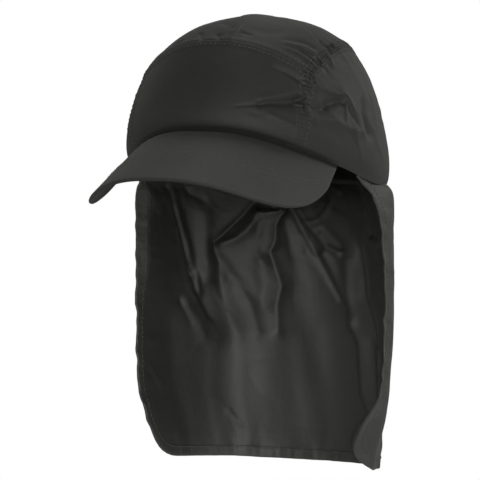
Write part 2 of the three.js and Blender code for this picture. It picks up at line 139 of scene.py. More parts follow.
# Adds up tapered creases. Each is a line through a few points; across it the rise falls off
# as exp(-(distance / width) ^ power), measured along the cloth, and lean makes its right side
# wider than its left.
def creaseRise(points, normals, creases):
    total = np.zeros(points.shape[:-1])
    for line, widths, rises, power, lean in creases:
        line = np.asarray(line, float)
        arc = arcLength(line)
        near, along, offside = np.full_like(total, 1e9), np.zeros_like(total), np.zeros_like(total)
        for start, end, before in zip(line[:-1], line[1:], arc[:-1]):
            step = end - start
            length = np.linalg.norm(step)
            share = np.clip(((points - start) @ step) / length ** 2, 0, 1)
            off = points - start - share[..., None] * step
            out = (off * normals).sum(-1)
            flat = np.sqrt(np.maximum((off ** 2).sum(-1) - out ** 2, 0))
            distance = np.hypot(flat, np.maximum(np.abs(out) - 3, 0))
            closer = distance < near
            near = np.where(closer, distance, near)
            along = np.where(closer, before + share * length, along)
            right = np.cross(step / length, normals)
            offside = np.where(closer, (off * right).sum(-1), offside)
        share = along / arc[-1]
        width = mix(*widths, share)
        width = width * (1 + lean * np.tanh(2 * offside / width))
        total += mix(*rises, share) * np.exp(-((near / width) ** power))
    return total


# How a fold's line in the photograph's pixels finds its place on the cloth: the photograph's size,
# how near a pixel a point has to show, how fine a grid of points is tried on each piece, and how
# many times higher the crown's folds stand than they were read.
picture = {
    "size": 480,
    "nearPixels": 1.0,
    "leastFacing": 0.02,
    "radiusSteps": 400,
    "turnSteps": 1441,
    "acrossSteps": 601,
    "downSteps": 451,
    "crownRise": 1.35,
}


# Pixels at which the camera sees points, and their depths: the middle of the picture plus how far
# they lie to the right, or minus how far up, times the zoom and over the depth.
def inPicture(points):
    axes = viewAxes(cameraPlace["azimuth"], cameraPlace["elevation"])
    right, up, back = (np.array(axis) for axis in axes)
    away = points - 1000 * np.array(cameraPosition(*axes))
    depth = -(away @ back)
    middle = picture["size"] / 2
    zoom = cameraPlace["lens"] / cameraPlace["sensor"] * picture["size"]
    pixels = [middle + zoom * (away @ right) / depth, middle - zoom * (away @ up) / depth]
    return np.stack(pixels, axis=-1), depth


# Places of the points that show along a line of pixels. Of those near a pixel the farthest one
# counts, so that a line on the flap doesn't land on cloth in front of it. Where none is near, the
# nearest one counts.
def seenPlaces(line, pixels, depth, places, near):
    found = []
    for pixel in np.array(line, float):
        gap = ((pixels - pixel) ** 2).sum(1)
        close = np.nonzero(gap <= max(near ** 2, gap.min()))[0]
        found.append(places[close[depth[close].argmax()]])
    return np.array(found)


# How far along a path of points each one lies: the summed lengths of the steps before it.
def arcLength(points):
    steps = np.linalg.norm(np.diff(points, axis=0), axis=1)
    return np.concatenate([[0], np.cumsum(steps)])


# For each point, its distance to a track of points, and how far along the track that is.
def nearTrack(points, track, arc):
    flat = points.reshape(-1, 3)
    square = (flat ** 2).sum(1)[:, None] + (track ** 2).sum(1) - 2 * flat @ track.T
    middle = np.clip(square.argmin(1), 1, len(track) - 2)
    start, step = track[middle - 1], track[middle + 1] - track[middle - 1]
    share = np.clip(((flat - start) * step).sum(1) / (step ** 2).sum(1), 0, 1)
    distance = np.linalg.norm(flat - start - step * share[:, None], axis=1)
    along = mix(arc[middle - 1], arc[middle + 1], share)
    return distance.reshape(points.shape[:-1]), along.reshape(points.shape[:-1])


# Meshes

# Quads of a grid of points, joined end to start where it wraps.
def gridFaces(rows, columns, wrapRows=False, wrapColumns=False):
    r = np.arange(rows if wrapRows else rows - 1)
    c = np.arange(columns if wrapColumns else columns - 1)
    r0, c0 = np.meshgrid(r, c, indexing="ij")
    r1, c1 = (r0 + 1) % rows, (c0 + 1) % columns
    corners = [r0 * columns + c0, r0 * columns + c1, r1 * columns + c1, r1 * columns + c0]
    return np.stack(corners, axis=-1).reshape(-1, 4)


# Six times the volume inside the quads: each triangle's corners multiplied as a box product.
def volumeOf(points, quads):
    a, b, c, d = (points[quads[:, k]] for k in range(4))
    return (np.cross(a, b) * c).sum() + (np.cross(a, c) * d).sum()


# One mesh object from points in millimetres, quads and end faces, with its UV map in metres and an
# attribute that says where the cloth is paler with wear, above 0, and where its colour is darkened
# with painted shade, below 0.
def makePiece(name, points, quads, caps, uv, wearAndShade, material):
    if volumeOf(points, quads) < 0:
        quads = quads[:, ::-1]
        caps = [cap[::-1] for cap in caps]
    mesh = bpy.data.meshes.new(name)
    capSizes = [len(cap) for cap in caps]
    loops = np.concatenate([quads.ravel(), *[np.asarray(cap) for cap in caps]]).astype(np.int32)
    sizes = np.concatenate([np.full(len(quads), 4), capSizes]).astype(np.int32)
    mesh.vertices.add(len(points))
    mesh.vertices.foreach_set("co", (points * 0.001).astype(np.float32).ravel())
    mesh.loops.add(len(loops))
    mesh.loops.foreach_set("vertex_index", loops)
    mesh.polygons.add(len(sizes))
    mesh.polygons.foreach_set("loop_start", np.concatenate([[0], np.cumsum(sizes)[:-1]]).astype(np.int32))
    mesh.polygons.foreach_set("loop_total", sizes)
    mesh.update(calc_edges=True)
    mesh.validate()
    mesh.polygons.foreach_set("use_smooth", np.ones(len(sizes), dtype=bool))
    mesh.set_sharp_from_angle(angle=math.radians(62))
    layer = mesh.uv_layers.new(name="cloth")
    layer.data.foreach_set("uv", (uv[loops] * 0.001).astype(np.float32).ravel())
    wearShade = mesh.attributes.new("wearAndShade", "FLOAT", "POINT")
    wearShade.data.foreach_set("value", wearAndShade.astype(np.float32))
    mesh.materials.append(material)
    piece = bpy.data.objects.new(name, mesh)
    bpy.context.collection.objects.link(piece)
    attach(piece, "root")
    return piece


# A closed wall of cloth between an outer grid of points and an inner one.
def clothWall(name, outer, inner, uv, wearAndShade, material):
    rows, columns = outer.shape[:2]
    count = rows * columns
    face = gridFaces(rows, columns)
    edge = np.concatenate([
        np.arange(columns),
        np.arange(1, rows) * columns + columns - 1,
        (rows - 1) * columns + np.arange(columns - 2, -1, -1),
        np.arange(rows - 2, 0, -1) * columns,
    ])
    after = np.roll(edge, -1)
    sides = np.stack([after, edge, edge + count, after + count], axis=1)
    quads = np.concatenate([face, face[:, ::-1] + count, sides])
    points = np.concatenate([outer.reshape(-1, 3), inner.reshape(-1, 3)])
    both = np.concatenate([uv.reshape(-1, 2)] * 2)
    wearShade = np.concatenate([wearAndShade.ravel()] * 2)
    return makePiece(name, points, quads, [], both, wearShade, material)


# A solid carried along a path of closed sections, capped at both ends unless it is a ring.
def clothLoft(name, sections, ring, uv, wearAndShade, material):
    count, corners = sections.shape[:2]
    quads = gridFaces(count, corners, wrapRows=ring, wrapColumns=True)
    first = np.arange(corners)
    caps = [] if ring else [first[::-1], first + (count - 1) * corners]
    return makePiece(
        name, sections.reshape(-1, 3), quads, caps, uv.reshape(-1, 2), wearAndShade.ravel(), material
    )


# Materials

# A shader node with its settings and the values of its inputs.
def addNode(nodes, kind, settings=(), **inputs):
    node = nodes.new(kind)
    for key, value in dict(settings).items():
        setattr(node, key, value)
    for key, value in inputs.items():
        node.inputs[key].default_value = value
    return node


# What all cloths share: how the threads' bands run, where the tone turns, how dark the painted shade
# makes the colour and how matt it makes the cloth, how far roughness goes either way, and the
# heights of creases and weave in metres.
clothFinish = {
    "bandScale": 0.314,
    "bandBend": 0.6,
    "bandDetail": 2.0,
    "toneFrom": 0.3,
    "toneTo": 0.7,
    "paintedShadeTone": 0.04,
    "hollowRoughness": 0.5,
    "smoother": 0.05,
    "rougher": 0.07,
    "creaseHeight": 0.0006,
    "weaveHeight": 0.0001,
    "sheenRoughness": 0.45,
    "sheenTint": (0.9, 0.9, 0.88, 1),
}


# Woven cloth: two crossed sets of fine bands for the threads, small creases from noise and a
# patchy tone. Above 0 the wear-and-shade attribute makes it paler, as worn cloth. Below 0 it
# darkens the colour with painted shade and makes it rougher.
def wovenCloth(name, look):
    finish = clothFinish
    material = bpy.data.materials.new(name)
    material.use_nodes = True
    nodes, links = material.node_tree.nodes, material.node_tree.links
    shader = nodes["Principled BSDF"]
    coords = nodes.new("ShaderNodeTexCoord")
    mapping = nodes.new("ShaderNodeMapping")
    mapping.inputs["Rotation"].default_value = (0, 0, look["grainTurn"])
    links.new(coords.outputs["UV"], mapping.inputs["Vector"])

    threads = []
    for direction in ("X", "Y"):
        wave = addNode(nodes, "ShaderNodeTexWave", {"bands_direction": direction},
                       Scale=finish["bandScale"] / look["threadPitch"], Distortion=finish["bandBend"])
        wave.inputs["Detail Scale"].default_value = finish["bandDetail"]
        links.new(mapping.outputs["Vector"], wave.inputs["Vector"])
        threads.append(wave)
    weave = addNode(nodes, "ShaderNodeMath", {"operation": "MULTIPLY"})
    links.new(threads[0].outputs["Fac"], weave.inputs[0])
    links.new(threads[1].outputs["Fac"], weave.inputs[1])

    patches = addNode(nodes, "ShaderNodeTexNoise", Scale=look["patchScale"], Detail=3.0)
    grain = addNode(nodes, "ShaderNodeTexNoise", Scale=look["grainScale"], Detail=5.0)
    for noise in (patches, grain):
        links.new(coords.outputs["Object"], noise.inputs["Vector"])
    tone = addNode(nodes, "ShaderNodeValToRGB")
    tone.color_ramp.elements[0].position = finish["toneFrom"]
    tone.color_ramp.elements[1].position = finish["toneTo"]
    tone.color_ramp.elements[0].color = (*look["darkTone"], 1)
    tone.color_ramp.elements[1].color = (*look["lightTone"], 1)
    links.new(patches.outputs["Fac"], tone.inputs["Fac"])

    shade = addNode(nodes, "ShaderNodeMix", {"data_type": "RGBA", "blend_type": "MULTIPLY"})
    shade.inputs[0].default_value = look["weaveShade"]
    links.new(tone.outputs["Color"], shade.inputs[6])
    links.new(weave.outputs["Value"], shade.inputs[7])
    wearShade = addNode(nodes, "ShaderNodeAttribute", {"attribute_name": "wearAndShade"})
    paler = addNode(nodes, "ShaderNodeMix", {"data_type": "RGBA"})
    paler.inputs[7].default_value = (*look["wornTone"], 1)
    links.new(wearShade.outputs["Fac"], paler.inputs[0])
    links.new(shade.outputs[2], paler.inputs[6])
    # Painted shade: below 0 the attribute darkens the base colour, down to paintedShadeTone at -1.
    paintedShade = addNode(nodes, "ShaderNodeMapRange")
    paintedShade.inputs["From Min"].default_value = -1.0
    paintedShade.inputs["From Max"].default_value = 0.0
    paintedShade.inputs["To Min"].default_value = finish["paintedShadeTone"]
    links.new(wearShade.outputs["Fac"], paintedShade.inputs["Value"])
    darker = addNode(nodes, "ShaderNodeMix", {"data_type": "RGBA", "blend_type": "MULTIPLY"})
    darker.inputs[0].default_value = 1.0
    links.new(paler.outputs[2], darker.inputs[6])
    links.new(paintedShade.outputs["Result"], darker.inputs[7])
    links.new(darker.outputs[2], shader.inputs["Base Color"])

    rough = addNode(nodes, "ShaderNodeMapRange")
    rough.inputs["To Min"].default_value = look["roughness"] - finish["smoother"]
    rough.inputs["To Max"].default_value = look["roughness"] + finish["rougher"]
    links.new(grain.outputs["Fac"], rough.inputs["Value"])
    matt = addNode(nodes, "ShaderNodeMapRange")
    matt.inputs["From Min"].default_value = -1.0
    matt.inputs["From Max"].default_value = 0.0
    matt.inputs["To Min"].default_value = finish["hollowRoughness"]
    matt.inputs["To Max"].default_value = 0.0
    links.new(wearShade.outputs["Fac"], matt.inputs["Value"])
    rougher = addNode(nodes, "ShaderNodeMath", {"operation": "ADD", "use_clamp": True})
    links.new(rough.outputs["Result"], rougher.inputs[0])
    links.new(matt.outputs["Result"], rougher.inputs[1])
    links.new(rougher.outputs["Value"], shader.inputs["Roughness"])

    crease = addNode(nodes, "ShaderNodeBump",
                     Strength=look["creaseStrength"], Distance=finish["creaseHeight"])
    links.new(grain.outputs["Fac"], crease.inputs["Height"])
    relief = addNode(nodes, "ShaderNodeBump",
                     Strength=look["weaveStrength"], Distance=finish["weaveHeight"])
    links.new(weave.outputs["Value"], relief.inputs["Height"])
    links.new(crease.outputs["Normal"], relief.inputs["Normal"])
    links.new(relief.outputs["Normal"], shader.inputs["Normal"])

    shader.inputs["Specular IOR Level"].default_value = look["gloss"]
    shader.inputs["Sheen Weight"].default_value = look["sheen"]
    shader.inputs["Sheen Roughness"].default_value = finish["sheenRoughness"]
    shader.inputs["Sheen Tint"].default_value = finish["sheenTint"]
    return material


shellLook = {
    "darkTone": (0.0205, 0.0210, 0.0186),
    "lightTone": (0.0258, 0.0264, 0.0236),
    "wornTone": (0.050, 0.051, 0.046),
    "threadPitch": 0.00045,
    "grainTurn": 0.0,
    "patchScale": 38.0,
    "grainScale": 420.0,
    "weaveShade": 0.35,
    "weaveStrength": 0.5,
    "creaseStrength": 0.25,
    "roughness": 0.55,
    "gloss": 0.6,
    "sheen": 0.1,
}
# The flap's nylon: glossier and smoother than the crown's, with its tones painted lighter as light.
flapLookPaintedLighter = {
    **shellLook,
    "darkTone": (0.0235, 0.0242, 0.0212),
    "lightTone": (0.0285, 0.0292, 0.0260),
    "roughness": 0.5,
    "gloss": 1.0,
}
# The brim's nylon: the crown's, with its tones painted much lighter as light on its upward top.
brimLookPaintedLighter = {
    **shellLook,
    "gloss": 0.85,
    "darkTone": (0.033, 0.0338, 0.0302),
    "lightTone": (0.0395, 0.0404, 0.0362),
    "roughness": 0.6,
    "grainTurn": 0.12,
}
bandLook = {
    **shellLook,
    "darkTone": (0.008, 0.008, 0.008),
    "lightTone": (0.013, 0.013, 0.013),
    "wornTone": (0.03, 0.03, 0.03),
    "threadPitch": 0.0008,
    "grainTurn": 0.785,
    "weaveStrength": 0.9,
    "roughness": 0.85,
    "gloss": 0.2,
    "sheen": 0.1,
}
threadLook = {
    **shellLook,
    "darkTone": (0.105, 0.107, 0.098),
    "lightTone": (0.135, 0.137, 0.127),
    "threadPitch": 0.0002,
    "roughness": 0.55,
}
shellCloth = wovenCloth("shell_nylon", shellLook)
flapClothPaintedLighter = wovenCloth("flap_nylon_painted_lighter", flapLookPaintedLighter)
brimClothPaintedLighter = wovenCloth("brim_nylon_painted_lighter", brimLookPaintedLighter)
bandTwill = wovenCloth("sweatband_twill", bandLook)
sewingThread = wovenCloth("sewing_thread", threadLook)
print("materials made")


# The crown's form, in millimetres. Places on it are given on a disc: 1 is the rim, across is
# towards the wearer's left and forward is towards the brim. Turns are from the front.

rim = {
    "halfWidth": 84.0,
    "halfLength": 102.0,
    "foreheadRise": 37.0,
    "earRise": 6.0,
    "blendFrom": 53.6,
    "blendTo": 93.6,
}
crown = {
    "height": 114.0,
    "lean": 5.0,
    "frontFullness": 2.36,
    "backFullness": 2.59,
    "puffOut": 3.0,
    "puffHeight": 15.0,
    "cloth": 1.2,
    "normalRadius": 0.97,
}
bentSheet = {"slope": 0.44, "drop": 60.5, "power": 2.36}


# Height of the bent sheet that the brim is cut from: it falls forwards and to both sides.
def sheetHeight(x, y):
    side = np.abs(x / rim["halfWidth"]) ** bentSheet["power"]
    return rim["foreheadRise"] - bentSheet["slope"] * (-y - rim["halfLength"]) - bentSheet["drop"] * side


# Height of the crown's lower edge: on the bent sheet in front, nearly level behind.
def rimHeight(turn):
    x, y = rim["halfWidth"] * np.sin(turn), -rim["halfLength"] * np.cos(turn)
    away = smoothStep(np.degrees(np.abs(turn)), rim["blendFrom"], rim["blendTo"])
    return mix(sheetHeight(x, y), rim["earRise"] * (1 + np.cos(turn)) / 2, away)


# A dome over the disc whose profile is a superellipse, leaning back a little and puffed out
# just above the rim.
def crownSurface(across, forward):
    radius = np.maximum(np.hypot(across, forward), 1e-9)
    polar = np.minimum(radius, 1) * math.pi / 2
    power = 2 / mix(crown["backFullness"], crown["frontFullness"], (1 + forward) / 2)
    reach = np.sin(polar) ** power
    rise = np.maximum(np.cos(polar), 0) ** power
    edge = rimHeight(np.arctan2(across, forward))
    above = rise * crown["height"] / crown["puffHeight"]
    puff = crown["puffOut"] * above * np.exp(1 - above)
    return np.stack([
        across / radius * (rim["halfWidth"] * reach + puff),
        -forward / radius * (rim["halfLength"] * reach + puff) + crown["lean"] * rise,
        edge + (crown["height"] - edge) * rise,
    ], axis=-1)


# How the crown's surface moves with each of its two disc coordinates.
def crownSlopes(across, forward):
    radius = np.hypot(across, forward)
    shrink = np.minimum(1, crown["normalRadius"] / np.maximum(radius, 1e-9))
    a, b, step = across * shrink, forward * shrink, 0.01
    alongA = (crownSurface(a + step, b) - crownSurface(a - step, b)) / (2 * step)
    alongB = (crownSurface(a, b + step) - crownSurface(a, b - step)) / (2 * step)
    return alongA, alongB


# Straight out of the crown: at right angles to both of its slopes.
def crownNormal(across, forward):
    alongA, alongB = crownSlopes(across, forward)
    return unit(np.cross(alongB, alongA))


# A point at a height above the rim and a depth inside the crown's outer surface.
def insideCrown(turn, height, depth):
    turn, height = np.broadcast_arrays(np.asarray(turn, float), np.asarray(height, float))
    rise = np.clip(height / (crown["height"] - rimHeight(turn)), 0, 1)
    power = 2 / mix(crown["backFullness"], crown["frontFullness"], (1 + np.cos(turn)) / 2)
    radius = np.arccos(rise ** (1 / power)) / (math.pi / 2)
    across, forward = radius * np.sin(turn), radius * np.cos(turn)
    return crownSurface(across, forward) - crownNormal(across, forward) * depth


# The crown's seams

seams = {
    "frontForward": 0.5,
    "junctionAcross": 0.517,
    "junctionForward": 0.415,
    "sideTurn": 44.0,
    "backTurn": 166.0,
    "centreShift": 0.07,
    "centreBend": 0.35,
    "sideSplit": 0.75,
}


# Disc place of the rim at a turn from the front: its sine and cosine.
def rimPlace(turnDegrees):
    turn = np.radians(turnDegrees)
    return np.stack([np.sin(turn), np.cos(turn)], axis=-1)


# Front seam from the middle to a side's junction: it drops with the square of the share.
def frontSeam(share):
    share = np.asarray(share, float)
    forward = mix(seams["frontForward"], seams["junctionForward"], share ** 2)
    return np.stack([share * seams["junctionAcross"], forward], axis=-1)


# Centre seam, back over the top: it starts a little off the middle and eases into it.
def centreSeam(share):
    share = np.asarray(share, float)
    start = frontSeam(seams["centreShift"] / seams["junctionAcross"])
    across = start[0] * (1 - smoothStep(share, 0, seams["centreBend"]))
    return np.stack([across, mix(start[1], -1, share)], axis=-1)


# A straight line on the disc from the rim up to the junction of the seams.
def lowerSideSeam(side, share):
    return mix(rimPlace(side * seams["sideTurn"]), frontSeam(side), np.asarray(share, float)[..., None])


# A straight line on the disc from the junction back to the rim at the nape.
def upperSideSeam(side, share):
    return mix(frontSeam(side), rimPlace(side * seams["backTurn"]), np.asarray(share, float)[..., None])


# Each seam: its line on the disc, the distance of its two stitched rows from it, and how strongly
# the cloth is gathered along it, at its start, a third of the way and at its end.
crownSeams = [
    {"name": "front", "line": lambda s: frontSeam(2 * s - 1), "row": 3.6, "gather": (0.04, 0.01, 0.06)},
    {"name": "centre", "line": centreSeam, "row": 3.4, "gather": (0.06, 0.03, 0.03)},
    {"name": "upperLeft", "line": lambda s: upperSideSeam(1, s), "row": 4.0, "gather": (0.30, 0.36, 0.06)},
    {"name": "upperRight", "line": lambda s: upperSideSeam(-1, s), "row": 4.0, "gather": (0.26, 0.22, 0.06)},
    {"name": "lowerLeft", "line": lambda s: lowerSideSeam(1, s), "row": 4.4, "gather": (0.01, 0.05, 0.12)},
    {"name": "lowerRight", "line": lambda s: lowerSideSeam(-1, s), "row": 4.4, "gather": (0.02, 0.09, 0.12)},
]
seamShape = {
    "steps": 220,
    "ridge": 2.0,
    "ridgeWidth": 9.0,
    "grooveDepth": 0.4,
    "grooveWidth": 0.7,
    "rowDepth": 0.28,
    "rowWidth": 0.75,
    "feltLift": 0.35,
    "gatherPitch": 3.0,
    "gatherSpread": 10.0,
    "nearFrom": 0.6,
    "nearTo": 2.2,
    "stitchEven": 0.72,
    "ribDepth": 3.0,
    "ribSharp": 1.6,
    "pleatDepth": 1.3,
    "pleatPitch": 2.7,
    "pitShade": 1.6,
    "ribCrestPaler": 0.12,
}
for seam in crownSeams:
    share = np.linspace(0, 1, seamShape["steps"])
    seam["places"] = seam["line"](share)
    seam["track"] = crownSurface(seam["places"][:, 0], seam["places"][:, 1])
    seam["arc"] = arcLength(seam["track"])
print("seams placed:", ", ".join(seam["name"] for seam in crownSeams))

# Folds that the photograph shows on the crown, read off it: the line in pixels, widths and
# rises in millimetres at both ends, sharpness, and lean, which makes the side on the right of the
# line wider.
crownFolds = {
    "sideRidge": (
        [(317, 89.8), (323, 89.6), (330.3, 93.0), (336, 95), (341.7, 94.3),
         (345.3, 97.1), (348.1, 102.1), (351.7, 109.3)],
        (2.6, 2.6), (1.5, 2.0), 1.2, -0.45,
    ),
    "sideRidgeUnder": (
        [(327, 104.5), (333.1, 102.6), (338.9, 101.0), (343, 102.6)],
        (3.0, 2.4), (-1.8, -1.7), 1.6, 0,
    ),
    "sideRidgeStart": ([(311, 99), (317, 96), (323, 93)], (3.0, 2.6), (0.7, 0.5), 1.5, 0),
    "sideHollow": ([(309, 103), (313, 107.5), (319, 110.5), (324, 108)], (2.6, 3.0), (-1.5, -2.0), 1.6, 0),
    "sideUpright": ([(345.3, 103), (345.6, 113.6), (346.4, 121)], (1.5, 1.5), (1.0, 0.7), 1.3, 0),
    "sideUprightUnder": ([(350, 109.5), (352, 114.5), (358, 123.6)], (2.0, 1.8), (-1.3, -1.0), 1.5, 0),
    "outlineDent": ([(363, 103), (363.6, 113), (366.7, 123), (369, 132)], (3.2, 4.0), (-1.0, -2.1), 1.7, 0),
    "outlineDentLip": ([(371, 98), (374, 112), (375, 126)], (3.0, 3.0), (0.8, 0.6), 1.7, 0),
    "pillow": (
        [(309, 118), (323.4, 120.4), (334.4, 120.4), (344, 126), (355, 131), (363, 132)],
        (3.6, 3.2), (1.3, 1.3), 1.6, 0.25,
    ),
    "pillowEnd": (
        [(354.3, 134), (357.7, 143.9), (359.8, 150.8), (361.8, 160)],
        (2.8, 2.2), (1.3, 1.0), 1.5, -0.3,
    ),
    "pillowUnder": ([(308, 143), (318, 142), (326, 138)], (4.5, 5.0), (-1.0, -0.6), 1.8, 0),
    "pillowPit": ([(312, 124.2), (314, 124.2)], (1.4, 1.2), (-1.3, -1.0), 1.8, 0),
    "rimRidge": ([(336, 153), (346, 155), (356, 160)], (2.0, 1.6), (0.7, 0.7), 1.5, 0.4),
    "rimHollow": ([(330, 157), (342, 160.5), (356, 166.5)], (2.0, 2.0), (-0.9, -0.9), 1.6, 0),
    "outlineRidge": ([(374, 131), (378, 146), (383, 156)], (3.0, 2.5), (0.6, 0.4), 1.6, 0.4),
    "upperHollow": ([(330, 66), (338, 73), (346, 76)], (4.0, 4.0), (-0.9, -0.5), 1.8, 0),
    "upperRidge": ([(345, 60), (356, 78), (366, 98)], (4.0, 4.5), (0.6, 0.4), 1.8, 0),
    "seamPitFold": ([(318, 65), (324, 67.5), (327, 72)], (1.6, 2.2), (-1.2, -0.8), 1.5, 0),
    "seamPitRidge": ([(328.5, 60.5), (332.5, 65.5)], (1.4, 1.4), (1.2, 0.9), 1.4, 0),
    "seamPitHigh": ([(325.5, 49), (329.5, 54)], (1.1, 1.1), (-1.9, -1.9), 1.8, 0),
    "seamPitTop": ([(330.5, 46.5), (333, 50)], (1.0, 1.0), (-1.7, -1.7), 1.8, 0),
    "topFoldDeep": ([(310, 56.5), (315, 61), (320, 65.5)], (1.3, 1.2), (-0.9, -1.8), 1.6, 0),
    "topFoldLong": ([(300, 51.5), (307.5, 56.6), (316, 65.5)], (1.3, 1.4), (-0.5, -1.2), 1.6, 0),
    "topRidgeLow": ([(291, 46), (300, 49), (309, 54), (316, 60)], (1.6, 1.3), (0.4, 0.9), 1.5, 0),
    "topRidgeNear": ([(286, 49.5), (297, 54), (308, 62)], (1.4, 1.4), (0.5, 0.7), 1.5, 0),
    "topHollow": ([(283, 39), (294, 41), (304, 43), (314, 49)], (2.6, 2.0), (-0.4, -0.8), 1.6, 0),
    "topRidge": ([(285, 44), (296, 45.5), (306, 49), (313, 54)], (2.0, 1.8), (0.5, 0.8), 1.6, 0),
    "topPit": ([(319.5, 42.5), (323, 46.5)], (1.6, 1.3), (-1.1, -1.3), 1.7, 0),
    "topBroadHollow": ([(255, 30), (268, 33), (280, 32)], (5.0, 5.0), (-0.7, -0.5), 2.0, 0),
    "cornerPit": ([(312, 80), (313.5, 84.5)], (1.0, 1.0), (-1.3, -1.3), 1.8, 0),
    "cornerPitLow": ([(307.8, 87), (309.3, 88)], (1.0, 1.0), (-1.0, -1.0), 1.8, 0),
    "frontHighHollow": (
        [(273, 68.5), (282.9, 72.4), (290.6, 75.2), (297, 79.7), (303, 85)],
        (2.0, 2.4), (-0.5, -1.1), 1.6, 0.2,
    ),
    "frontHighRidge": ([(276, 63), (286, 67), (297, 73), (304, 79)], (2.4, 2.4), (0.5, 0.8), 1.6, 0),
    "frontCreaseStart": ([(236, 106), (250.7, 105), (259.7, 103.7)], (0.9, 1.3), (-0.5, -0.9), 1.5, 0.3),
    "frontCrease": (
        [(259.7, 103.7), (268, 102.5), (280, 102), (290, 101.5), (299, 99.5)],
        (2.2, 4.8), (-1.2, -3.4), 1.7, 0.3,
    ),
    "frontCreaseLip": ([(262, 98.5), (278, 96.5), (294, 92.5)], (2.8, 2.8), (0.4, 0.7), 1.7, 0),
    "frontCreaseEnd": ([(300, 98.5), (305.4, 96.5)], (1.8, 1.5), (-1.5, -1.6), 1.6, 0),
    "frontSeamPit": ([(298, 105.5), (302, 107)], (1.2, 1.2), (-1.2, -1.0), 1.7, 0),
    "frontLowRidge": ([(272, 116), (284.8, 122.4), (293.2, 127.4)], (2.4, 2.2), (1.0, 1.2), 1.4, 0.2),
    "frontLowHollow": (
        [(252, 114), (260, 116.5), (266, 123), (276.4, 129.5), (285, 137)],
        (2.6, 2.4), (-1.0, -1.3), 1.7, 0.1,
    ),
    "frontLowDent": ([(243, 121), (252, 119)], (4.5, 4.5), (-0.89, -1.33), 1.9, 0),
    "frontRimRidge": ([(251, 132), (266, 137.5), (282, 144)], (1.6, 1.8), (0.5, 0.5), 1.6, 0),
    "seamPitFar": ([(201, 34), (203, 42)], (1.6, 1.6), (-0.8, -0.8), 1.7, 0),
    "seamPitNext": ([(218, 36), (219, 40)], (1.4, 1.2), (-0.9, -0.9), 1.7, 0),
    "seamPitMiddle": ([(243, 33.5), (249.5, 35)], (2.0, 2.0), (-0.9, -0.8), 1.8, 0),
    "seamPitOutline": ([(177, 45), (182, 42)], (2.0, 2.0), (-0.8, -0.6), 1.8, 0),
    "topMiddleHollow": ([(225, 24), (232, 30)], (3.0, 3.0), (-0.5, -0.4), 1.8, 0),
}
# Creases that the photograph doesn't show, most of them on the wearer's right, in the same order
# but with lines on the disc.
crownOtherCreases = [
    ([(-0.64, 0.4), (-0.7, 0.3), (-0.76, 0.2)], (2.6, 2.6), (1.5, 1.4), 1.3, 0.4),
    ([(-0.66, 0.5), (-0.69, 0.42), (-0.72, 0.34)], (3.0, 3.0), (-1.6, -1.6), 1.6, 0),
    ([(-0.78, 0.06), (-0.84, -0.04)], (4.0, 4.0), (-1.6, -1.2), 1.7, 0),
    ([(-0.48, 0.2), (-0.34, 0.22)], (1.6, 1.2), (-1.4, -0.6), 1.6, 0),
    ([(-0.43, 0.03), (-0.29, 0.06)], (1.6, 1.2), (-1.2, -0.5), 1.6, 0),
    ([(-0.52, 0.05), (-0.66, -0.02)], (1.8, 2.4), (-1.0, -0.5), 1.6, 0),
    ([(0.7, -0.25), (0.78, -0.42)], (6.0, 6.0), (-1.4, -0.9), 2.0, 0),
    ([(-0.7, -0.28), (-0.78, -0.45)], (6.0, 6.0), (-1.4, -0.9), 2.0, 0),
]


# Turns lines in pixels into lines on the disc: the nearest point of the crown that faces the camera.
def crownFromPicture(folds):
    radius, turn = np.meshgrid(
        np.linspace(0.01, 1, picture["radiusSteps"]),
        np.linspace(-math.pi, math.pi, picture["turnSteps"]),
    )
    places = np.stack([radius * np.sin(turn), radius * np.cos(turn)], axis=-1).reshape(-1, 2)
    back = np.array(viewAxes(cameraPlace["azimuth"], cameraPlace["elevation"])[2])
    places = places[crownNormal(*places.T) @ back > picture["leastFacing"]]
    pixels, depth = inPicture(crownSurface(*places.T))
    creases = []
    for line, widths, rises, power, lean in folds.values():
        stronger = [picture["crownRise"] * rise for rise in rises]
        creases.append((seenPlaces(line, pixels, depth, places, 0), widths, stronger, power, lean))
    return creases


crownCreases = [
    (crownSurface(*np.array(line, float).T), *shape)
    for line, *shape in crownFromPicture(crownFolds) + crownOtherCreases
]
print("crown folds placed:", len(crownCreases))
crownSmall = {
    "clothScale": 1.45,
    "crumpleSize": 17.0,
    "crumpleRise": 0.3,
    "frontCalm": 0.15,
    "edgeRoll": 1.1,
    "edgeRollHeight": 1.6,
    "liftHeight": 8.0,
    "edgeFlare": 2.3,
    "flareHeight": 7.0,
    "foldFade": 0.16,
    "dentClear": 0.06,
    "ridgeFade": 0.08,
    "edgeWear": 0.3,
    "edgeWearHeight": 1.2,
    "rollLess": 0.7,
    "rollLessTurns": (66, 86),
    "flareTurns": (70, 88, 110, 150),
}
# Turns from the front in degrees, and how far the edge stands off the brim there.
edgeShape = {
    "turns": (-66, -40, -10, 15, 35, 60),
    "lifts": (0.2, 0.2, 0.3, 0.8, 1.5, 1.4),
    "endTurns": (64, 80),
    "sag": 2.0,
    "sagTurns": (72, 86, 105, 140),
}


# How far the crown's lower edge stands off the brim: little on the wearer's right and more on
# the left. Behind the brim's left end it hangs down a little.
def edgeLift(turn):
    degrees = np.degrees(turn)
    lift = np.interp(degrees, edgeShape["turns"], edgeShape["lifts"])
    lift = lift * (1 - smoothStep(np.abs(degrees), *edgeShape["endTurns"]))
    begin, full, ease, end = edgeShape["sagTurns"]
    sag = edgeShape["sag"] * smoothStep(degrees, begin, full) * (1 - smoothStep(degrees, ease, end))
    return lift - sag


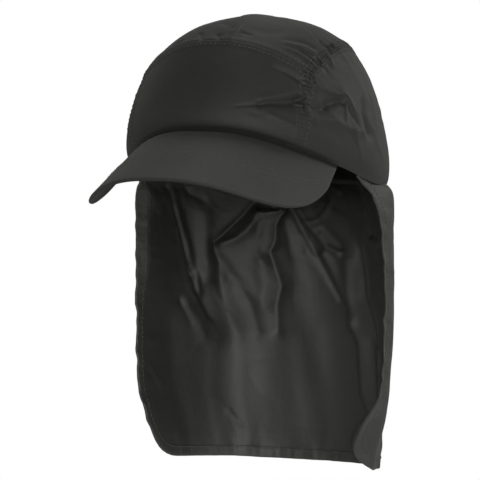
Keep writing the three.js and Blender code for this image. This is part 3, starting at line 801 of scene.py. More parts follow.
# Height added by all seams. Along each there is a low broad ridge, a groove where the panels
# meet, two stitched rows, and gathers: ribs across the seam, fine between the rows and coarser
# outside them, where they die away.
def seamRelief(points, fade):
    relief = np.zeros(points.shape[:-1])
    wearAndShade = np.zeros_like(relief)
    ridge = np.zeros_like(relief)
    shape = seamShape
    for number, seam in enumerate(crownSeams):
        distance, along = nearTrack(points, seam["track"], seam["arc"])
        length = seam["arc"][-1]
        ridge = np.maximum(ridge, np.exp(-np.hypot(distance, 1.2) / shape["ridgeWidth"]))
        near = 1 - smoothStep(distance, seam["row"] + shape["nearFrom"], seam["row"] + shape["nearTo"])
        groove = np.exp(-((distance / shape["grooveWidth"]) ** 2))
        row = np.exp(-(((distance - seam["row"]) / shape["rowWidth"]) ** 2))
        stitch = np.cos(2 * math.pi * along / (thread["length"] + thread["gap"]))
        stitch = shape["stitchEven"] + (1 - shape["stitchEven"]) * stitch
        strength = np.interp(along / length, (0, 0.33, 1), seam["gather"])
        wander = along + 1.4 * softNoise(onSheet(along, distance * 0.15), 9.0, 11 + number)
        rib = 0.5 + 0.5 * np.cos(2 * math.pi * wander / shape["gatherPitch"])
        wide = along + 5.0 * softNoise(onSheet(along, distance * 0.25), 13.0, 31 + number)
        pleat = 0.5 + 0.5 * np.cos(2 * math.pi * wide / (shape["pleatPitch"] * shape["gatherPitch"]))
        uneven = 0.75 + 0.5 * softNoise(onSheet(along, distance * 0.1), 8.0, 51 + number)
        out = np.maximum(distance - seam["row"], 0) / shape["gatherSpread"]
        relief += shape["feltLift"] * near - shape["grooveDepth"] * groove
        relief -= shape["rowDepth"] * row * stitch
        relief -= strength * shape["ribDepth"] * near * (rib ** shape["ribSharp"]) * uneven
        pleat = pleat * (1 - near) * np.exp(-(out ** 2) * 3)
        relief -= strength * shape["pleatDepth"] * pleat * uneven
        # Painted shade in the gathers' pits, less on the stitched rows, and the crests between the ribs
        # paler.
        paintedPitShade = near * np.minimum(strength * 3.6, 1) * smoothStep(rib, 0.45, 0.95) * uneven
        wearAndShade = wearAndShade + near * (shape["ribCrestPaler"] * (1 - rib) - shape["pitShade"] * paintedPitShade * (1 - 0.5 * row))
    return (relief + shape["ridge"] * ridge) * fade, wearAndShade


# The crown's cloth at places on the disc: the smooth dome moved along its normal by folds,
# seams, small creases and a rolled lower edge, which is lifted off the brim in front.
def crownCloth(places):
    across, forward = places[..., 0], places[..., 1]
    points = crownSurface(across, forward)
    normal = crownNormal(across, forward)
    inFromRim = 1 - np.hypot(across, forward)
    small = crownSmall
    folds = creaseRise(points, normal, crownCreases)
    folds *= smoothStep(inFromRim, np.where(folds < 0, small["dentClear"], 0), small["foldFade"])
    seamPart, wearAndShade = seamRelief(points, smoothStep(inFromRim, -0.001, small["ridgeFade"]))
    x = across * rim["halfWidth"] * small["clothScale"]
    y = forward * rim["halfLength"] * small["clothScale"]
    calm = mix(1, small["frontCalm"], smoothStep(forward - 0.9 * np.abs(across), -0.1, 0.2))
    creased = small["crumpleRise"] * crumple(points, small["crumpleSize"], 3) * calm
    creased *= smoothStep(inFromRim, 0.01, 0.12)
    turn = np.arctan2(across, forward)
    above = points[..., 2] - rimHeight(turn)
    roll = small["edgeRoll"] * np.exp(-((above / small["edgeRollHeight"]) ** 2))
    degrees = np.degrees(turn)
    roll *= 1 - small["rollLess"] * smoothStep(degrees, *small["rollLessTurns"])
    wearAndShade = wearAndShade + small["edgeWear"] * np.exp(-above / small["edgeWearHeight"])
    begin, full, ease, end = small["flareTurns"]
    side = smoothStep(degrees, begin, full) * (1 - smoothStep(degrees, ease, end))
    flare = small["edgeFlare"] * side * np.exp(-above / small["flareHeight"])
    points = points + normal * (folds + seamPart + creased - roll + flare)[..., None]
    points[..., 2] += edgeLift(turn) * np.exp(-above / small["liftHeight"])
    return points, normal, np.stack([x, y], axis=-1), np.clip(wearAndShade, -1, 1)


# Places of a four-sided patch of the disc, filled in between its edges.
def patchPlaces(bottom, top, left, right, u, v):
    u, v = np.meshgrid(u, v)
    a, b = u[..., None], v[..., None]
    places = bottom(u) * (1 - b) + top(u) * b + left(v) * (1 - a) + right(v) * a
    places -= bottom(0.0) * (1 - a) * (1 - b) + bottom(1.0) * a * (1 - b)
    return places - top(0.0) * (1 - a) * b - top(1.0) * a * b


# One panel: the crown's cloth on the outside, the same moved in by its thickness inside.
def crownPanel(name, places, *nodes):
    outer, normal, uv, wearAndShade = crownCloth(places)
    inner = outer - normal * crown["cloth"]
    panel = clothWall(name, outer, inner, uv, wearAndShade, shellCloth)
    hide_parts(*nodes)
    return panel


# Shares from 0 to 1 raised to a power, which sets them closer together near 0.
def rimward(steps, crowding):
    return np.linspace(0, 1, steps) ** crowding


thread = {
    "length": 2.5,
    "gap": 0.9,
    "radius": 0.27,
    "lift": 0.16,
    "sink": 0.22,
    "sides": 6,
    "rings": 5,
    "bowPower": 0.6,
    "thinEnd": 0.45,
    "crownEnd": 0.992,
}
panelSteps = {
    "frontWide": 132,
    "frontHigh": 90,
    "sideWide": 215,
    "sideHigh": 95,
    "topWide": 76,
    "topLong": 215,
    "crowdToRim": 1.35,
    "crowdToNape": 1.2,
}


# The five panels: each is a patch of the disc between two seams, the rim and a seam on top.
def makeCrown():
    turn = seams["sideTurn"]
    u = np.linspace(0, 1, panelSteps["frontWide"])
    v = rimward(panelSteps["frontHigh"], panelSteps["crowdToRim"])
    front = patchPlaces(
        lambda s: rimPlace(mix(-turn, turn, np.asarray(s, float))),
        lambda s: frontSeam(2 * np.asarray(s, float) - 1),
        lambda s: lowerSideSeam(-1, s),
        lambda s: lowerSideSeam(1, s),
        u, v,
    )
    crownPanel("front_panel_cloth", front, "front_panel")
    for side, word in ((1, "left"), (-1, "right")):
        split, back = seams["sideSplit"], seams["backTurn"]
        u = np.linspace(0, 1, panelSteps["sideWide"])
        v = rimward(panelSteps["sideHigh"], panelSteps["crowdToRim"])
        places = patchPlaces(
            lambda s: rimPlace(side * mix(turn, back, np.asarray(s, float))),
            lambda s: upperSideSeam(side, np.asarray(s, float) * split),
            lambda s: lowerSideSeam(side, s),
            lambda s: upperSideSeam(side, mix(1, split, np.asarray(s, float))),
            u, v,
        )
        crownPanel(f"side_panel_{word}_cloth", places, f"side_panel_{word}")
        start = seams["centreShift"] / seams["junctionAcross"]
        u = np.linspace(0, 1, panelSteps["topWide"])
        v = 1 - rimward(panelSteps["topLong"], panelSteps["crowdToNape"])[::-1]
        places = patchPlaces(
            lambda s: frontSeam(mix(start, side, np.asarray(s, float))),
            lambda s: rimPlace(side * mix(180, back, np.asarray(s, float))),
            centreSeam,
            lambda s: upperSideSeam(side, s),
            u, v,
        )
        crownPanel(f"top_panel_{word}_cloth", places, f"top_panel_{word}")


makeCrown()
print("crown made")


# Stitching: rows of short threads

# Threads along a path: each is a short tube that bows up out of the cloth in its middle and
# dips into it at both ends. Returns its points, ring by ring.
def stitchRow(path, normals):
    arc = arcLength(path)
    pitch = thread["length"] + thread["gap"]
    start = np.arange(pitch / 2, arc[-1] - pitch, pitch)
    share = np.linspace(0, 1, thread["rings"])
    at = start[:, None] + share * thread["length"]
    along = np.gradient(path, axis=0)
    pick = lambda values: np.stack([np.interp(at, arc, values[:, k]) for k in range(3)], axis=-1)
    centre, up, ahead = pick(path), unit(pick(normals)), unit(pick(along))
    aside = np.cross(ahead, up)
    bow = np.sin(math.pi * share) ** thread["bowPower"]
    lift = thread["lift"] * bow - thread["sink"] * (1 - bow)
    radius = thread["radius"] * mix(thread["thinEnd"], 1, bow)
    angle = np.arange(thread["sides"]) / thread["sides"] * 2 * math.pi
    centre = centre + up * lift[:, None]
    around = aside[:, :, None] * np.cos(angle)[:, None] + up[:, :, None] * np.sin(angle)[:, None]
    return centre[:, :, None] + around * radius[:, None, None]


# All rows of one piece joined in one mesh of closed tubes.
def makeStitching(name, rows):
    tubes = np.concatenate([stitchRow(*row) for row in rows if len(row[0]) > 3])
    count, rings, sides = tubes.shape[:3]
    tube = gridFaces(rings, sides, wrapColumns=True)
    offset = np.arange(count)[:, None, None] * rings * sides
    quads = (tube[None] + offset).reshape(-1, 4)
    first = np.arange(sides)
    ends = np.stack([first[::-1], first + (rings - 1) * sides])
    caps = list((ends[None] + offset).reshape(-1, sides))
    points = tubes.reshape(-1, 3)
    uv = np.stack([points[:, 0] + points[:, 1], points[:, 2]], axis=-1)
    piece = makePiece(name, points, quads, caps, uv, np.zeros(len(points)), sewingThread)
    return piece


# Disc places of a stitched row: the seam's line moved sideways on the surface. The move is
# worked out from how the surface stretches the disc there.
def crownRowPlaces(seam, side):
    places, track = seam["places"], seam["track"]
    alongA, alongB = crownSlopes(places[:, 0], places[:, 1])
    across = unit(np.cross(crownNormal(places[:, 0], places[:, 1]), np.gradient(track, axis=0)))
    aa, ab, bb = (alongA ** 2).sum(1), (alongA * alongB).sum(1), (alongB ** 2).sum(1)
    da, db = (alongA * across).sum(1), (alongB * across).sum(1)
    scale = side * seam["row"] / (aa * bb - ab ** 2)
    return places + np.stack([(bb * da - ab * db) * scale, (aa * db - ab * da) * scale], axis=-1)


# Two stitched rows for each seam, on the finished cloth, as far down as the rim.
def crownRows():
    rows = []
    for seam in crownSeams:
        for side in (-1, 1):
            places = crownRowPlaces(seam, side)
            places = places[np.hypot(places[:, 0], places[:, 1]) < thread["crownEnd"]]
            points, normal, _, _ = crownCloth(places)
            rows.append((points, normal))
    return rows


makeStitching("crown_stitching", crownRows())
print("crown stitching made")


# Brim

brim = {
    "turn": 65.6,
    "length": 64.0,
    "fan": 0.11,
    "taper": 3.4,
    "round": 0.37,
    "end": 0.985,
    "thickness": 2.6,
    "tab": 1.0,
    "tabHeight": 8.0,
    "neckThickness": 1.6,
    "seatGap": 0.4,
    "tuckDepth": 1.7,
    "stations": 260,
    "steps": 56,
    "noseSteps": 7,
    "endRound": 0.022,
    "endThinner": 0.35,
    "rows": (0.46, 0.53, 0.61),
    "rowDepth": 0.06,
    "rowWidth": 0.7,
    "ripple": 0.25,
    "dipWidth": 5.0,
    "rippleSize": 26.0,
    "halfRound": 110.0,
    "edgeWear": 0.35,
    "edgeWearWidth": 1.6,
    "noseWear": 0.15,
    "noseShade": 1.3,
    "seatShade": 1.4,
    "seatShadeWidth": 1.3,
    "rowEnd": 0.955,
    "rowPoints": 500,
}


# Top of the brim at a share of its length out from the rim, on the bent sheet.
def brimPlace(turn, share, length):
    rimX, rimY = rim["halfWidth"] * np.sin(turn), -rim["halfLength"] * np.cos(turn)
    heading = brim["fan"] * turn
    x = rimX + share * length * np.sin(heading)
    y = rimY - share * length * np.cos(heading)
    sag = (sheetHeight(rimX, rimY) - rimHeight(turn)) * (1 - share) ** 2
    return np.stack([x, y, sheetHeight(x, y) - sag - brim["seatGap"]], axis=-1)


# Straight up out of the bent sheet, from its falls to both sides.
def sheetNormal(x, y, step=0.1):
    fallX = sheetHeight(x + step, y) - sheetHeight(x - step, y)
    fallY = sheetHeight(x, y + step) - sheetHeight(x, y - step)
    return unit(np.stack([-fallX, -fallY, np.full_like(x, 2 * step)], axis=-1))


# The brim's length at a share of its turn: full in the middle, rounded off to the ends.
def brimReach(share):
    return brim["length"] * (1 - np.abs(share) ** brim["taper"]) ** brim["round"]


# The brim's cloth: its place on the bent sheet, with stitched grooves and faint ripples.
def brimTopPoints(share, out):
    turn = np.radians(share * brim["turn"])
    length = brimReach(share)
    points = brimPlace(turn, out, length)
    normal = sheetNormal(points[..., 0], points[..., 1])
    relief = brim["ripple"] * softNoise(points, brim["rippleSize"], 5)
    relief = relief * smoothStep(1 - out, 0, 0.15)
    relief = relief - (0.15 + 0.5 * edgeLift(turn)) * np.exp(-((out * length / brim["dipWidth"]) ** 1.6))
    for row in brim["rows"]:
        away = (out - row) * length
        relief = relief - brim["rowDepth"] * np.exp(-((away / brim["rowWidth"]) ** 2))
    return points + normal * relief[..., None], normal


# The brim is sections side by side: its top, a half-round nose, its underside, and a tab that
# turns up inside the crown.
def makeBrim():
    share = np.linspace(-brim["end"], brim["end"], brim["stations"])
    out = np.linspace(0, 1, brim["steps"])
    turn = np.radians(share * brim["turn"])
    top, normal = brimTopPoints(*np.broadcast_arrays(share[:, None], out[None, :]))
    past = np.clip((np.abs(share) - brim["end"] + brim["endRound"]) / brim["endRound"], 0, 1)
    thin = 1 - brim["endThinner"] * smoothStep(-share, 0.45, 0.85)
    thick = (brim["thickness"] * thin * np.sqrt(np.maximum(1 - past ** 2, 0.02)))[:, None, None]
    lower = (brim["thickness"] - thick) / 2
    top = top - normal * lower
    under = top - normal * thick
    outwards = unit(top[:, -1] - top[:, -2])
    angle = np.linspace(0, math.pi, brim["noseSteps"] + 2)[1:-1]
    centre = (top[:, -1] + under[:, -1]) / 2
    half = (top[:, -1] - under[:, -1]) / 2
    nose = centre[:, None] + half[:, None] * np.cos(angle)[:, None]
    nose = nose + outwards[:, None] * (thick / 2) * np.sin(angle)[:, None]
    depth = brim["tuckDepth"]
    tabOut = insideCrown(turn, 0, depth)
    tabOut[:, 2] = top[:, 0, 2] + 0.2
    tabIn = insideCrown(turn, 0, depth + brim["tab"])
    tabIn[:, 2] = tabOut[:, 2] - brim["neckThickness"]
    tabTop = insideCrown(turn, brim["tabHeight"], depth)
    tabTopIn = insideCrown(turn, brim["tabHeight"], depth + brim["tab"])
    sections = np.concatenate([
        tabTop[:, None], tabOut[:, None], top, nose, under[:, 1:][:, ::-1], tabIn[:, None], tabTopIn[:, None],
    ], axis=1)
    reach, tabHeight = brim["length"], brim["tabHeight"]
    underStart, tabStart = reach + 2, 2 * reach + 3
    ring = np.concatenate([
        [-tabHeight, 0], out * reach, reach + angle, underStart + out[1:] * reach,
        [tabStart, tabStart + tabHeight],
    ])
    uv = np.stack(np.broadcast_arrays(ring[None, :], (share * brim["halfRound"])[:, None]), axis=-1)
    wearAndShade = np.zeros(sections.shape[:2])
    noseStart = 2 + brim["steps"]
    noseEnd = noseStart + brim["noseSteps"]
    wearAndShade[:, 2:noseStart] = brim["edgeWear"] * np.exp(-((1 - out) * reach) / brim["edgeWearWidth"])
    # The nose is a little paler with wear on top and darkens round to its underside with painted shade.
    wearAndShade[:, noseStart:noseEnd] = brim["noseWear"] - brim["noseShade"] * angle / math.pi
    # Painted shade along the brim's top where it meets the crown, as under the crown's edge.
    wearAndShade[:, 2:noseStart] -= brim["seatShade"] * np.exp(-((out * reach) / brim["seatShadeWidth"]) ** 2)
    # The tab that turns up inside the crown is painted nearly black: painted shade in the gap.
    wearAndShade[:, [0, 1, -2, -1]] = -1
    piece = clothLoft("brim_covered", sections, False, uv, wearAndShade, brimClothPaintedLighter)
    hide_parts("brim")
    rows = []
    for row in brim["rows"]:
        s = np.linspace(-brim["rowEnd"], brim["rowEnd"], brim["rowPoints"])
        rows.append(brimTopPoints(s, np.full_like(s, row)))
    makeStitching("brim_stitching", rows)


makeBrim()
print("brim made")


# Sweatband

band = {
    "depth": 3.2,
    "cloth": 1.2,
    "lift": 1.0,
    "height": 28.0,
    "stations": 300,
    "steps": 14,
    "wave": 0.25,
    "waveSize": 14.0,
    "pinch": 0.45,
    "pinchHeight": 0.8,
    "meanRadius": 90,
    "innerFace": 60,
}


# A ring of twill: an outer and an inner face with rounded edges, carried round the opening.
def makeSweatband():
    turn = np.arange(band["stations"]) / band["stations"] * 2 * math.pi - math.pi
    share = np.linspace(0, 1, band["steps"])
    height = mix(band["lift"], band["height"], share)
    edge = np.minimum(height - band["lift"], band["height"] - height)
    pinch = band["pinch"] * np.exp(-edge / band["pinchHeight"])
    turns, heights = np.meshgrid(turn, height, indexing="ij")
    wave = band["wave"] * softNoise(onSheet(turns * band["meanRadius"], heights), band["waveSize"], 8)
    outer = insideCrown(turns, heights, (band["depth"] + pinch[None] + wave)[..., None])
    inner = insideCrown(turns, heights, (band["depth"] + band["cloth"] - pinch[None] + wave)[..., None])
    sections = np.concatenate([outer, inner[:, ::-1]], axis=1)
    ring = np.concatenate([height, band["innerFace"] - height[::-1]])
    uv = np.stack(np.broadcast_arrays(ring[None], (turn * band["meanRadius"])[:, None]), axis=-1)
    wearAndShade = np.zeros(sections.shape[:2])
    piece = clothLoft("sweatband_twill_ring", sections, True, uv, wearAndShade, bandTwill)
    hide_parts("sweatband")


makeSweatband()
print("sweatband made")


# Neck flap and hem

flap = {
    "halfWidth": 146.0,
    "drop": 202.0,
    "topTurn": 102.0,
    "midHalfWidth": 93.0,
    "midDepth": 90.0,
    "midTurn": 90.5,
    "lowHalfWidth": 89.0,
    "lowDepth": 87.0,
    "lowTurn": 93.0,
    "spreadStart": 2.5,
    "spreadDrop": 10.0,
    "tuck": 8.0,
    "riseLeft": 8.0,
    "riseRight": 10.0,
    "narrowFrom": 0.45,
    "corner": 35.0,
    "curlLeft": 19.0,
    "curlFromAcross": 0.8,
    "curlFromDown": 0.64,
    "cloth": 0.8,
    "depth": 2.2,
    "columns": 190,
    "cornerSteps": 10,
    "rows": 150,
    "crowding": 1.2,
    "crumpleSize": 24.0,
    "crumpleRise": 0.6,
    "calmFrom": 60.0,
    "calmTo": 120.0,
    "pinchLeft": 11.0,
    "bowRight": 9.0,
    "flareRight": -2.0,
    "hemTurnRight": 5.5,
    "quickSpread": 3.5,
    "edgeSpread": 18.0,
    "pinchFromAcross": (0.45, 0.8),
    "pinchFromDown": (0.7, 1.02),
    "bowFromAcross": (0.45, 0.85),
    "hemTurnAcross": (0.55, 0.92),
    "hemTurnDown": (2, 14),
    "hemTurnFade": (0.3, 0.5),
    "deepPucker": 0.9,
    "deepPuckerReach": 9.0,
}
# Folds that the photograph shows on the flap, read off it, in the same order. A positive rise
# stands in towards the neck, where the camera is.
flapFolds = {
    "overlapCrest": (
        [(163.1, 178.6), (169.5, 197), (175.7, 215.7), (183.7, 243.1), (191.7, 272.9)],
        (7.5, 7.0), (6.4, 5.4), 1.35, -0.82,
    ),
    "overlapCrestEnd": (
        [(191.7, 272.9), (194, 286.6), (203.1, 304.9), (208.9, 315.1)],
        (5.5, 4.0), (4.2, 2.0), 1.4, -0.75,
    ),
    "overlapRecess": (
        [(169, 180), (177, 210), (188, 245), (196.5, 275), (200, 292)],
        (5.5, 3.5), (-4.4, -2.4), 1.6, 0.2,
    ),
    "overlapTopFold": ([(183.7, 181.4), (189.4, 192.9), (203.1, 199.7)], (3.0, 3.0), (2.0, 1.2), 1.5, 0),
    "overlapTail": ([(184.9, 305), (192, 314), (199, 322), (204.3, 336)], (5.5, 4.5), (-1.6, -1.0), 1.8, 0),
    "overlapTailCrest": ([(179, 300), (186, 314), (190, 322)], (3.0, 3.0), (1.6, 1.0), 1.5, 0),
    "edgeTopCrest": ([(153, 188), (158, 196), (160, 204)], (4.0, 4.0), (2.0, 1.4), 1.7, 0),
    "edgeTopRecess": ([(166, 190), (170, 202)], (2.2, 2.2), (-1.8, -1.2), 1.6, 0),
    "edgeCrest": ([(149.5, 214), (150.5, 240)], (2.5, 2.5), (1.6, 1.2), 1.6, 0),
    "edgeRecess": ([(147.5, 200), (148.5, 232)], (1.6, 1.6), (-1.4, -1.0), 1.6, 0),
    "forkCrest": (
        [(253.4, 203.1), (244, 213.5), (233, 224), (223, 233.5), (214.8, 241.5)],
        (3.6, 2.8), (2.4, 3.4), 1.3, -0.35,
    ),
    "forkHollow": ([(256, 219), (246, 230), (234, 239), (220, 243.6)], (5.2, 2.6), (-3.4, -2.6), 1.5, 0),
    "forkStem": ([(214.8, 241.5), (216, 251), (219, 262), (221, 280)], (3.2, 7.5), (3.2, 2.8), 1.4, 0.1),
    "forkBranch": (
        [(221, 256.9), (238.6, 284.3), (251, 306), (258, 330)],
        (4.0, 5.5), (1.4, 2.0), 1.6, 0.2,
    ),
    "forkLow": ([(221, 280), (226, 305), (234, 332)], (7.5, 9.0), (2.8, 2.8), 1.8, 0.1),
    "forkRightHollow": ([(262, 262), (264, 285), (262, 305)], (6.0, 6.0), (-1.8, -1.4), 1.8, 0),
    "forkLeftHollow": ([(205, 215), (206, 245), (207, 275)], (6.0, 6.0), (-1.4, -1.6), 1.9, 0),
    "lowBroadCrest": (
        [(234, 332), (233, 360), (234, 395), (238, 425), (240, 447)],
        (17.0, 17.0), (3.8, 4.4), 2.0, 0.3,
    ),
    "lowBroadEdge": ([(214, 345), (212, 390), (219, 424), (222, 446)], (8.0, 6.5), (-0.6, -0.8), 1.9, -0.2),
    "lowMiddleCrest": ([(262, 340), (264, 380), (262, 430)], (12.0, 12.0), (1.6, 1.8), 2.0, 0),
    "lowNick": ([(229.5, 411), (236, 419), (241, 424)], (1.6, 1.8), (-0.8, -0.8), 1.7, 0),
    "middleCrest": (
        [(285.7, 208.9), (276.6, 224.9), (275.4, 240.9), (270.6, 252.3), (277.7, 272.9),
         (281.5, 286), (277, 305), (278, 330)],
        (3.2, 5.0), (3.2, 2.6), 1.4, 0,
    ),
    "pocket": ([(257, 212.5), (266, 214), (276, 212.6), (281, 211)], (2.6, 2.4), (-3.4, -3.2), 1.7, 0),
    "pocketLip": ([(274.5, 209.3), (279, 210.4)], (1.5, 1.5), (2.0, 1.6), 1.6, 0),
    "pocketUnder": ([(258, 222), (259, 238), (262, 250)], (3.8, 4.0), (1.2, 0.9), 1.6, 0),
    "middleHollow": ([(284.5, 219), (290, 235), (295, 255), (300, 280)], (5.0, 8.0), (-2.6, -1.8), 1.7, 0),
    "diagonalCrest": (
        [(295, 212), (299.4, 222.6), (308.6, 240.9), (320, 261.4), (331.4, 284.3), (339, 299)],
        (6.0, 5.0), (2.8, 2.2), 1.35, -0.7,
    ),
    "diagonalHollow": (
        [(298, 210), (306, 222), (313.1, 230), (324.6, 246), (335.5, 253.4)],
        (3.2, 2.0), (-2.8, -2.4), 1.5, 0,
    ),
    "diagonalHollowLow": (
        [(322.3, 255), (330, 270), (337.5, 286), (343, 300)],
        (4.0, 5.0), (-2.8, -1.8), 1.6, 0,
    ),
    "diagonalUpper": ([(308, 204), (318, 222), (332, 238), (338, 247)], (4.5, 3.0), (1.6, 1.8), 1.5, 0),
    "rightTopCrest": (
        [(322.3, 190.6), (331.4, 204.3), (348.6, 214.6), (358, 222)],
        (5.0, 5.0), (1.4, 0.8), 1.7, -0.3,
    ),
    "rightTopNick": ([(333, 184), (339.5, 191)], (2.2, 2.0), (-2.0, -1.2), 1.6, 0),
    "diagonalTail": ([(300, 300), (310, 330), (318, 370)], (10.0, 12.0), (-1.6, -1.0), 2.0, 0),
    "stripCrest": (
        [(354, 250), (357.5, 270), (358.5, 296), (367, 326), (370, 345)],
        (4.6, 4.0), (2.6, 2.0), 1.6, -0.1,
    ),
    "stripHollow": ([(344, 262), (346, 295), (352, 325)], (5.0, 4.0), (-2.2, -2.2), 1.7, 0),
    "stripLowHollow": (
        [(350, 322), (356.9, 343), (358.1, 364.6), (359.3, 392.6), (365.5, 413.2)],
        (4.0, 4.0), (-2.6, -2.0), 1.5, -0.5,
    ),
    "stripLowCrest": (
        [(364, 340), (367, 365), (368, 395), (372, 420), (371, 445)],
        (5.5, 4.5), (2.8, 2.2), 1.6, -0.2,
    ),
    "cornerNick": ([(364, 421), (356, 428), (352, 437), (351, 447)], (2.8, 2.4), (-1.6, -1.2), 1.6, 0),
    "cornerCrest": ([(360, 432), (359, 448)], (4.0, 4.0), (1.6, 1.2), 1.7, 0),
    "hemNickHigh": ([(372, 240), (380, 243), (384, 240)], (2.2, 2.2), (-2.0, -1.6), 1.6, 0),
    "hemNickNext": ([(374, 246), (378, 256)], (2.0, 2.0), (-1.2, -0.9), 1.6, 0),
    "hemNickLow": ([(379.5, 352), (380.5, 362), (379.5, 371)], (2.2, 2.2), (-2.4, -2.2), 1.8, 0),
    "rightUpperCrest": ([(359, 186), (364, 205), (372, 225), (374, 238)], (4.0, 4.0), (1.6, 1.2), 1.7, 0),
    "leftHemNick": ([(148, 341), (154, 337)], (2.2, 2.4), (-1.2, -0.8), 1.7, 0),
    "leftHemNickLow": ([(149, 366), (156, 380), (160, 386)], (1.8, 1.8), (-1.1, -0.8), 1.6, 0),
    "leftLowCrest": ([(170, 330), (172, 380), (182, 425)], (9.0, 9.0), (1.2, 1.0), 2.0, 0),
    "lowRightHollow": ([(292, 345), (296, 400), (300, 440)], (9.0, 9.0), (-0.8, -1.0), 2.0, 0),
    "lowFarHollow": ([(318, 340), (322, 390), (330, 430)], (9.0, 9.0), (-1.0, -0.6), 2.0, 0),
}
# One broad fold on the wearer's left, and creases on the part there that faces away, in the same
# order but with lines in millimetres across and down the cloth. Here a negative rise stands in.
flapOtherCreases = [
    ([(38, 45), (44, 80), (54, 102), (57, 130), (58, 151), (63, 185)], (20.0, 22.0), (-6.0, -6.5), 1.4, 0.6),
    ([(112, 40), (118, 90), (112, 150)], (8.0, 8.0), (2.0, 1.6), 1.9, 0),
    ([(92, 20), (98, 70), (94, 120)], (7.0, 8.0), (-1.8, -1.4), 1.9, 0),
    ([(128, 60), (130, 110)], (5.0, 5.0), (-1.2, -1.0), 1.8, 0),
]
hem = {
    "width": 8.0,
    "thickness": 2.0,
    "topDrop": 0.6,
    "cornersAround": 20,
    "stationsDown": 170,
    "pucker": 0.45,
    "puckerPitch": 6.5,
    "rowIn": 6.6,
}


# Half an oval round the neck: half the width times the sine, the depth times the cosine.
def halfOval(halfWidth, depth, angle):
    return np.stack([halfWidth * np.sin(angle), depth * np.cos(angle), np.zeros_like(angle)], axis=-1)


# The flap before its edges move or fold, over the plane it was cut in. Above the rim it lies
# inside the crown, and below it spreads into a half oval that narrows towards the bottom.
def flapPlain(across, down):
    across, down = np.broadcast_arrays(np.asarray(across, float), np.asarray(down, float))
    share = across / flap["halfWidth"]
    side = np.where(across < 0, -1.0, 1.0)
    turn = side * (math.pi - np.abs(share) * math.radians(flap["topTurn"]))
    top = insideCrown(turn, np.maximum(-down, 0), flap["depth"])
    mid = halfOval(flap["midHalfWidth"], flap["midDepth"], share * math.radians(flap["midTurn"]))
    low = halfOval(flap["lowHalfWidth"], flap["lowDepth"], share * math.radians(flap["lowTurn"]))
    fallen = np.maximum(down, 0) / flap["drop"]
    early = smoothStep(share, 0.45, 0.7)
    slow = mix(flap["spreadDrop"], flap["quickSpread"], early)
    slow = mix(slow, flap["edgeSpread"], smoothStep(share, 0.8, 1))
    spread = 1 - np.exp(-np.maximum(down - flap["spreadStart"] * (1 - 0.8 * early), 0) / slow)
    point = mix(top, mid, spread[..., None])
    point = point + (low - mid) * smoothStep(fallen, flap["narrowFrom"], 1)[..., None]
    hanging = rimHeight(turn) * (1 - fallen) - down
    point[..., 2] = np.where(down < 0, top[..., 2], hanging)
    return point


# The hanging flap: the plain one moved sideways at its edges. The wearer's right bows out low down
# and its hem turns in higher up, and the wearer's left curls and is pinched in low down.
def flapHanging(across, down):
    across, down = np.broadcast_arrays(np.asarray(across, float), np.asarray(down, float))
    point = flapPlain(across, down)
    share = across / flap["halfWidth"]
    fallen = np.maximum(down, 0) / flap["drop"]
    curl = flap["curlLeft"] * smoothStep(share, flap["curlFromAcross"], 1)
    bow = flap["bowRight"] * smoothStep(-share, *flap["bowFromAcross"])
    bow = bow - flap["flareRight"] * smoothStep(-share, flap["bowFromAcross"][1], 1)
    point[..., 0] += (bow - curl) * smoothStep(fallen, flap["curlFromDown"], 1)
    pinch = smoothStep(share, *flap["pinchFromAcross"]) * smoothStep(fallen, *flap["pinchFromDown"])
    point[..., 0] -= flap["pinchLeft"] * pinch
    turned = smoothStep(-share, *flap["hemTurnAcross"]) - smoothStep(-share, 0.93, 1)
    turned = turned * smoothStep(down, *flap["hemTurnDown"]) * (1 - smoothStep(fallen, *flap["hemTurnFade"]))
    point[..., 0] += flap["hemTurnRight"] * turned
    return point


# Straight out of a sheet, at right angles to its steps across and down.
def sheetNormals(sheet, across, down, step=0.5):
    alongAcross = sheet(across + step, down) - sheet(across - step, down)
    alongDown = sheet(across, down + step) - sheet(across, down - step)
    return unit(np.cross(alongDown, alongAcross))


# Turns lines in pixels into lines across and down the cloth, on the plain flap.
def flapFromPicture(folds):
    across, down = np.meshgrid(
        np.linspace(-flap["halfWidth"], flap["halfWidth"], picture["acrossSteps"]),
        np.linspace(0, 1.02 * flap["drop"], picture["downSteps"]),
    )
    places = np.stack([across, down], axis=-1).reshape(-1, 2)
    pixels, depth = inPicture(flapPlain(*places.T))
    creases = []
    for line, widths, rises, power, lean in folds.values():
        found = seenPlaces(line, pixels, depth, places, picture["nearPixels"])
        creases.append((found, widths, [-rise for rise in rises], power, lean))
    return creases


flapCreases = [
    (np.pad(np.array(line, float), ((0, 0), (0, 1))), *shape)
    for line, *shape in flapFromPicture(flapFolds) + flapOtherCreases
]
print("flap folds placed:", len(flapCreases))


# The hanging flap moved along its normal by its folds, small creases, and the puckers that
# the hem pulls into the cloth beside it.
def flapFolded(across, down):
    cut = onSheet(across, down)
    rise = creaseRise(cut, np.array([0.0, 0.0, -1.0]), flapCreases)
    calm = 1 - 0.65 * smoothStep(down, flap["calmFrom"], flap["calmTo"])
    rise = rise + flap["crumpleRise"] * calm * crumple(cut, flap["crumpleSize"], 21)
    toSide = flap["halfWidth"] - np.abs(across)
    toEdge = np.minimum(toSide, flap["drop"] - down)
    wander = np.where(toSide < flap["drop"] - down, down, across)
    pucker = softNoise(onSheet(wander, toEdge * 0.3), hem["puckerPitch"], 41)
    inside = np.maximum(toEdge - hem["width"], 0)
    rise = rise + flap["deepPucker"] * pucker * np.exp(-inside / flap["deepPuckerReach"])
    rise = rise * smoothStep(down, 0, flap["tuck"])
    normal = sheetNormals(flapHanging, across, down)
    return flapHanging(across, down) + normal * rise[..., None]


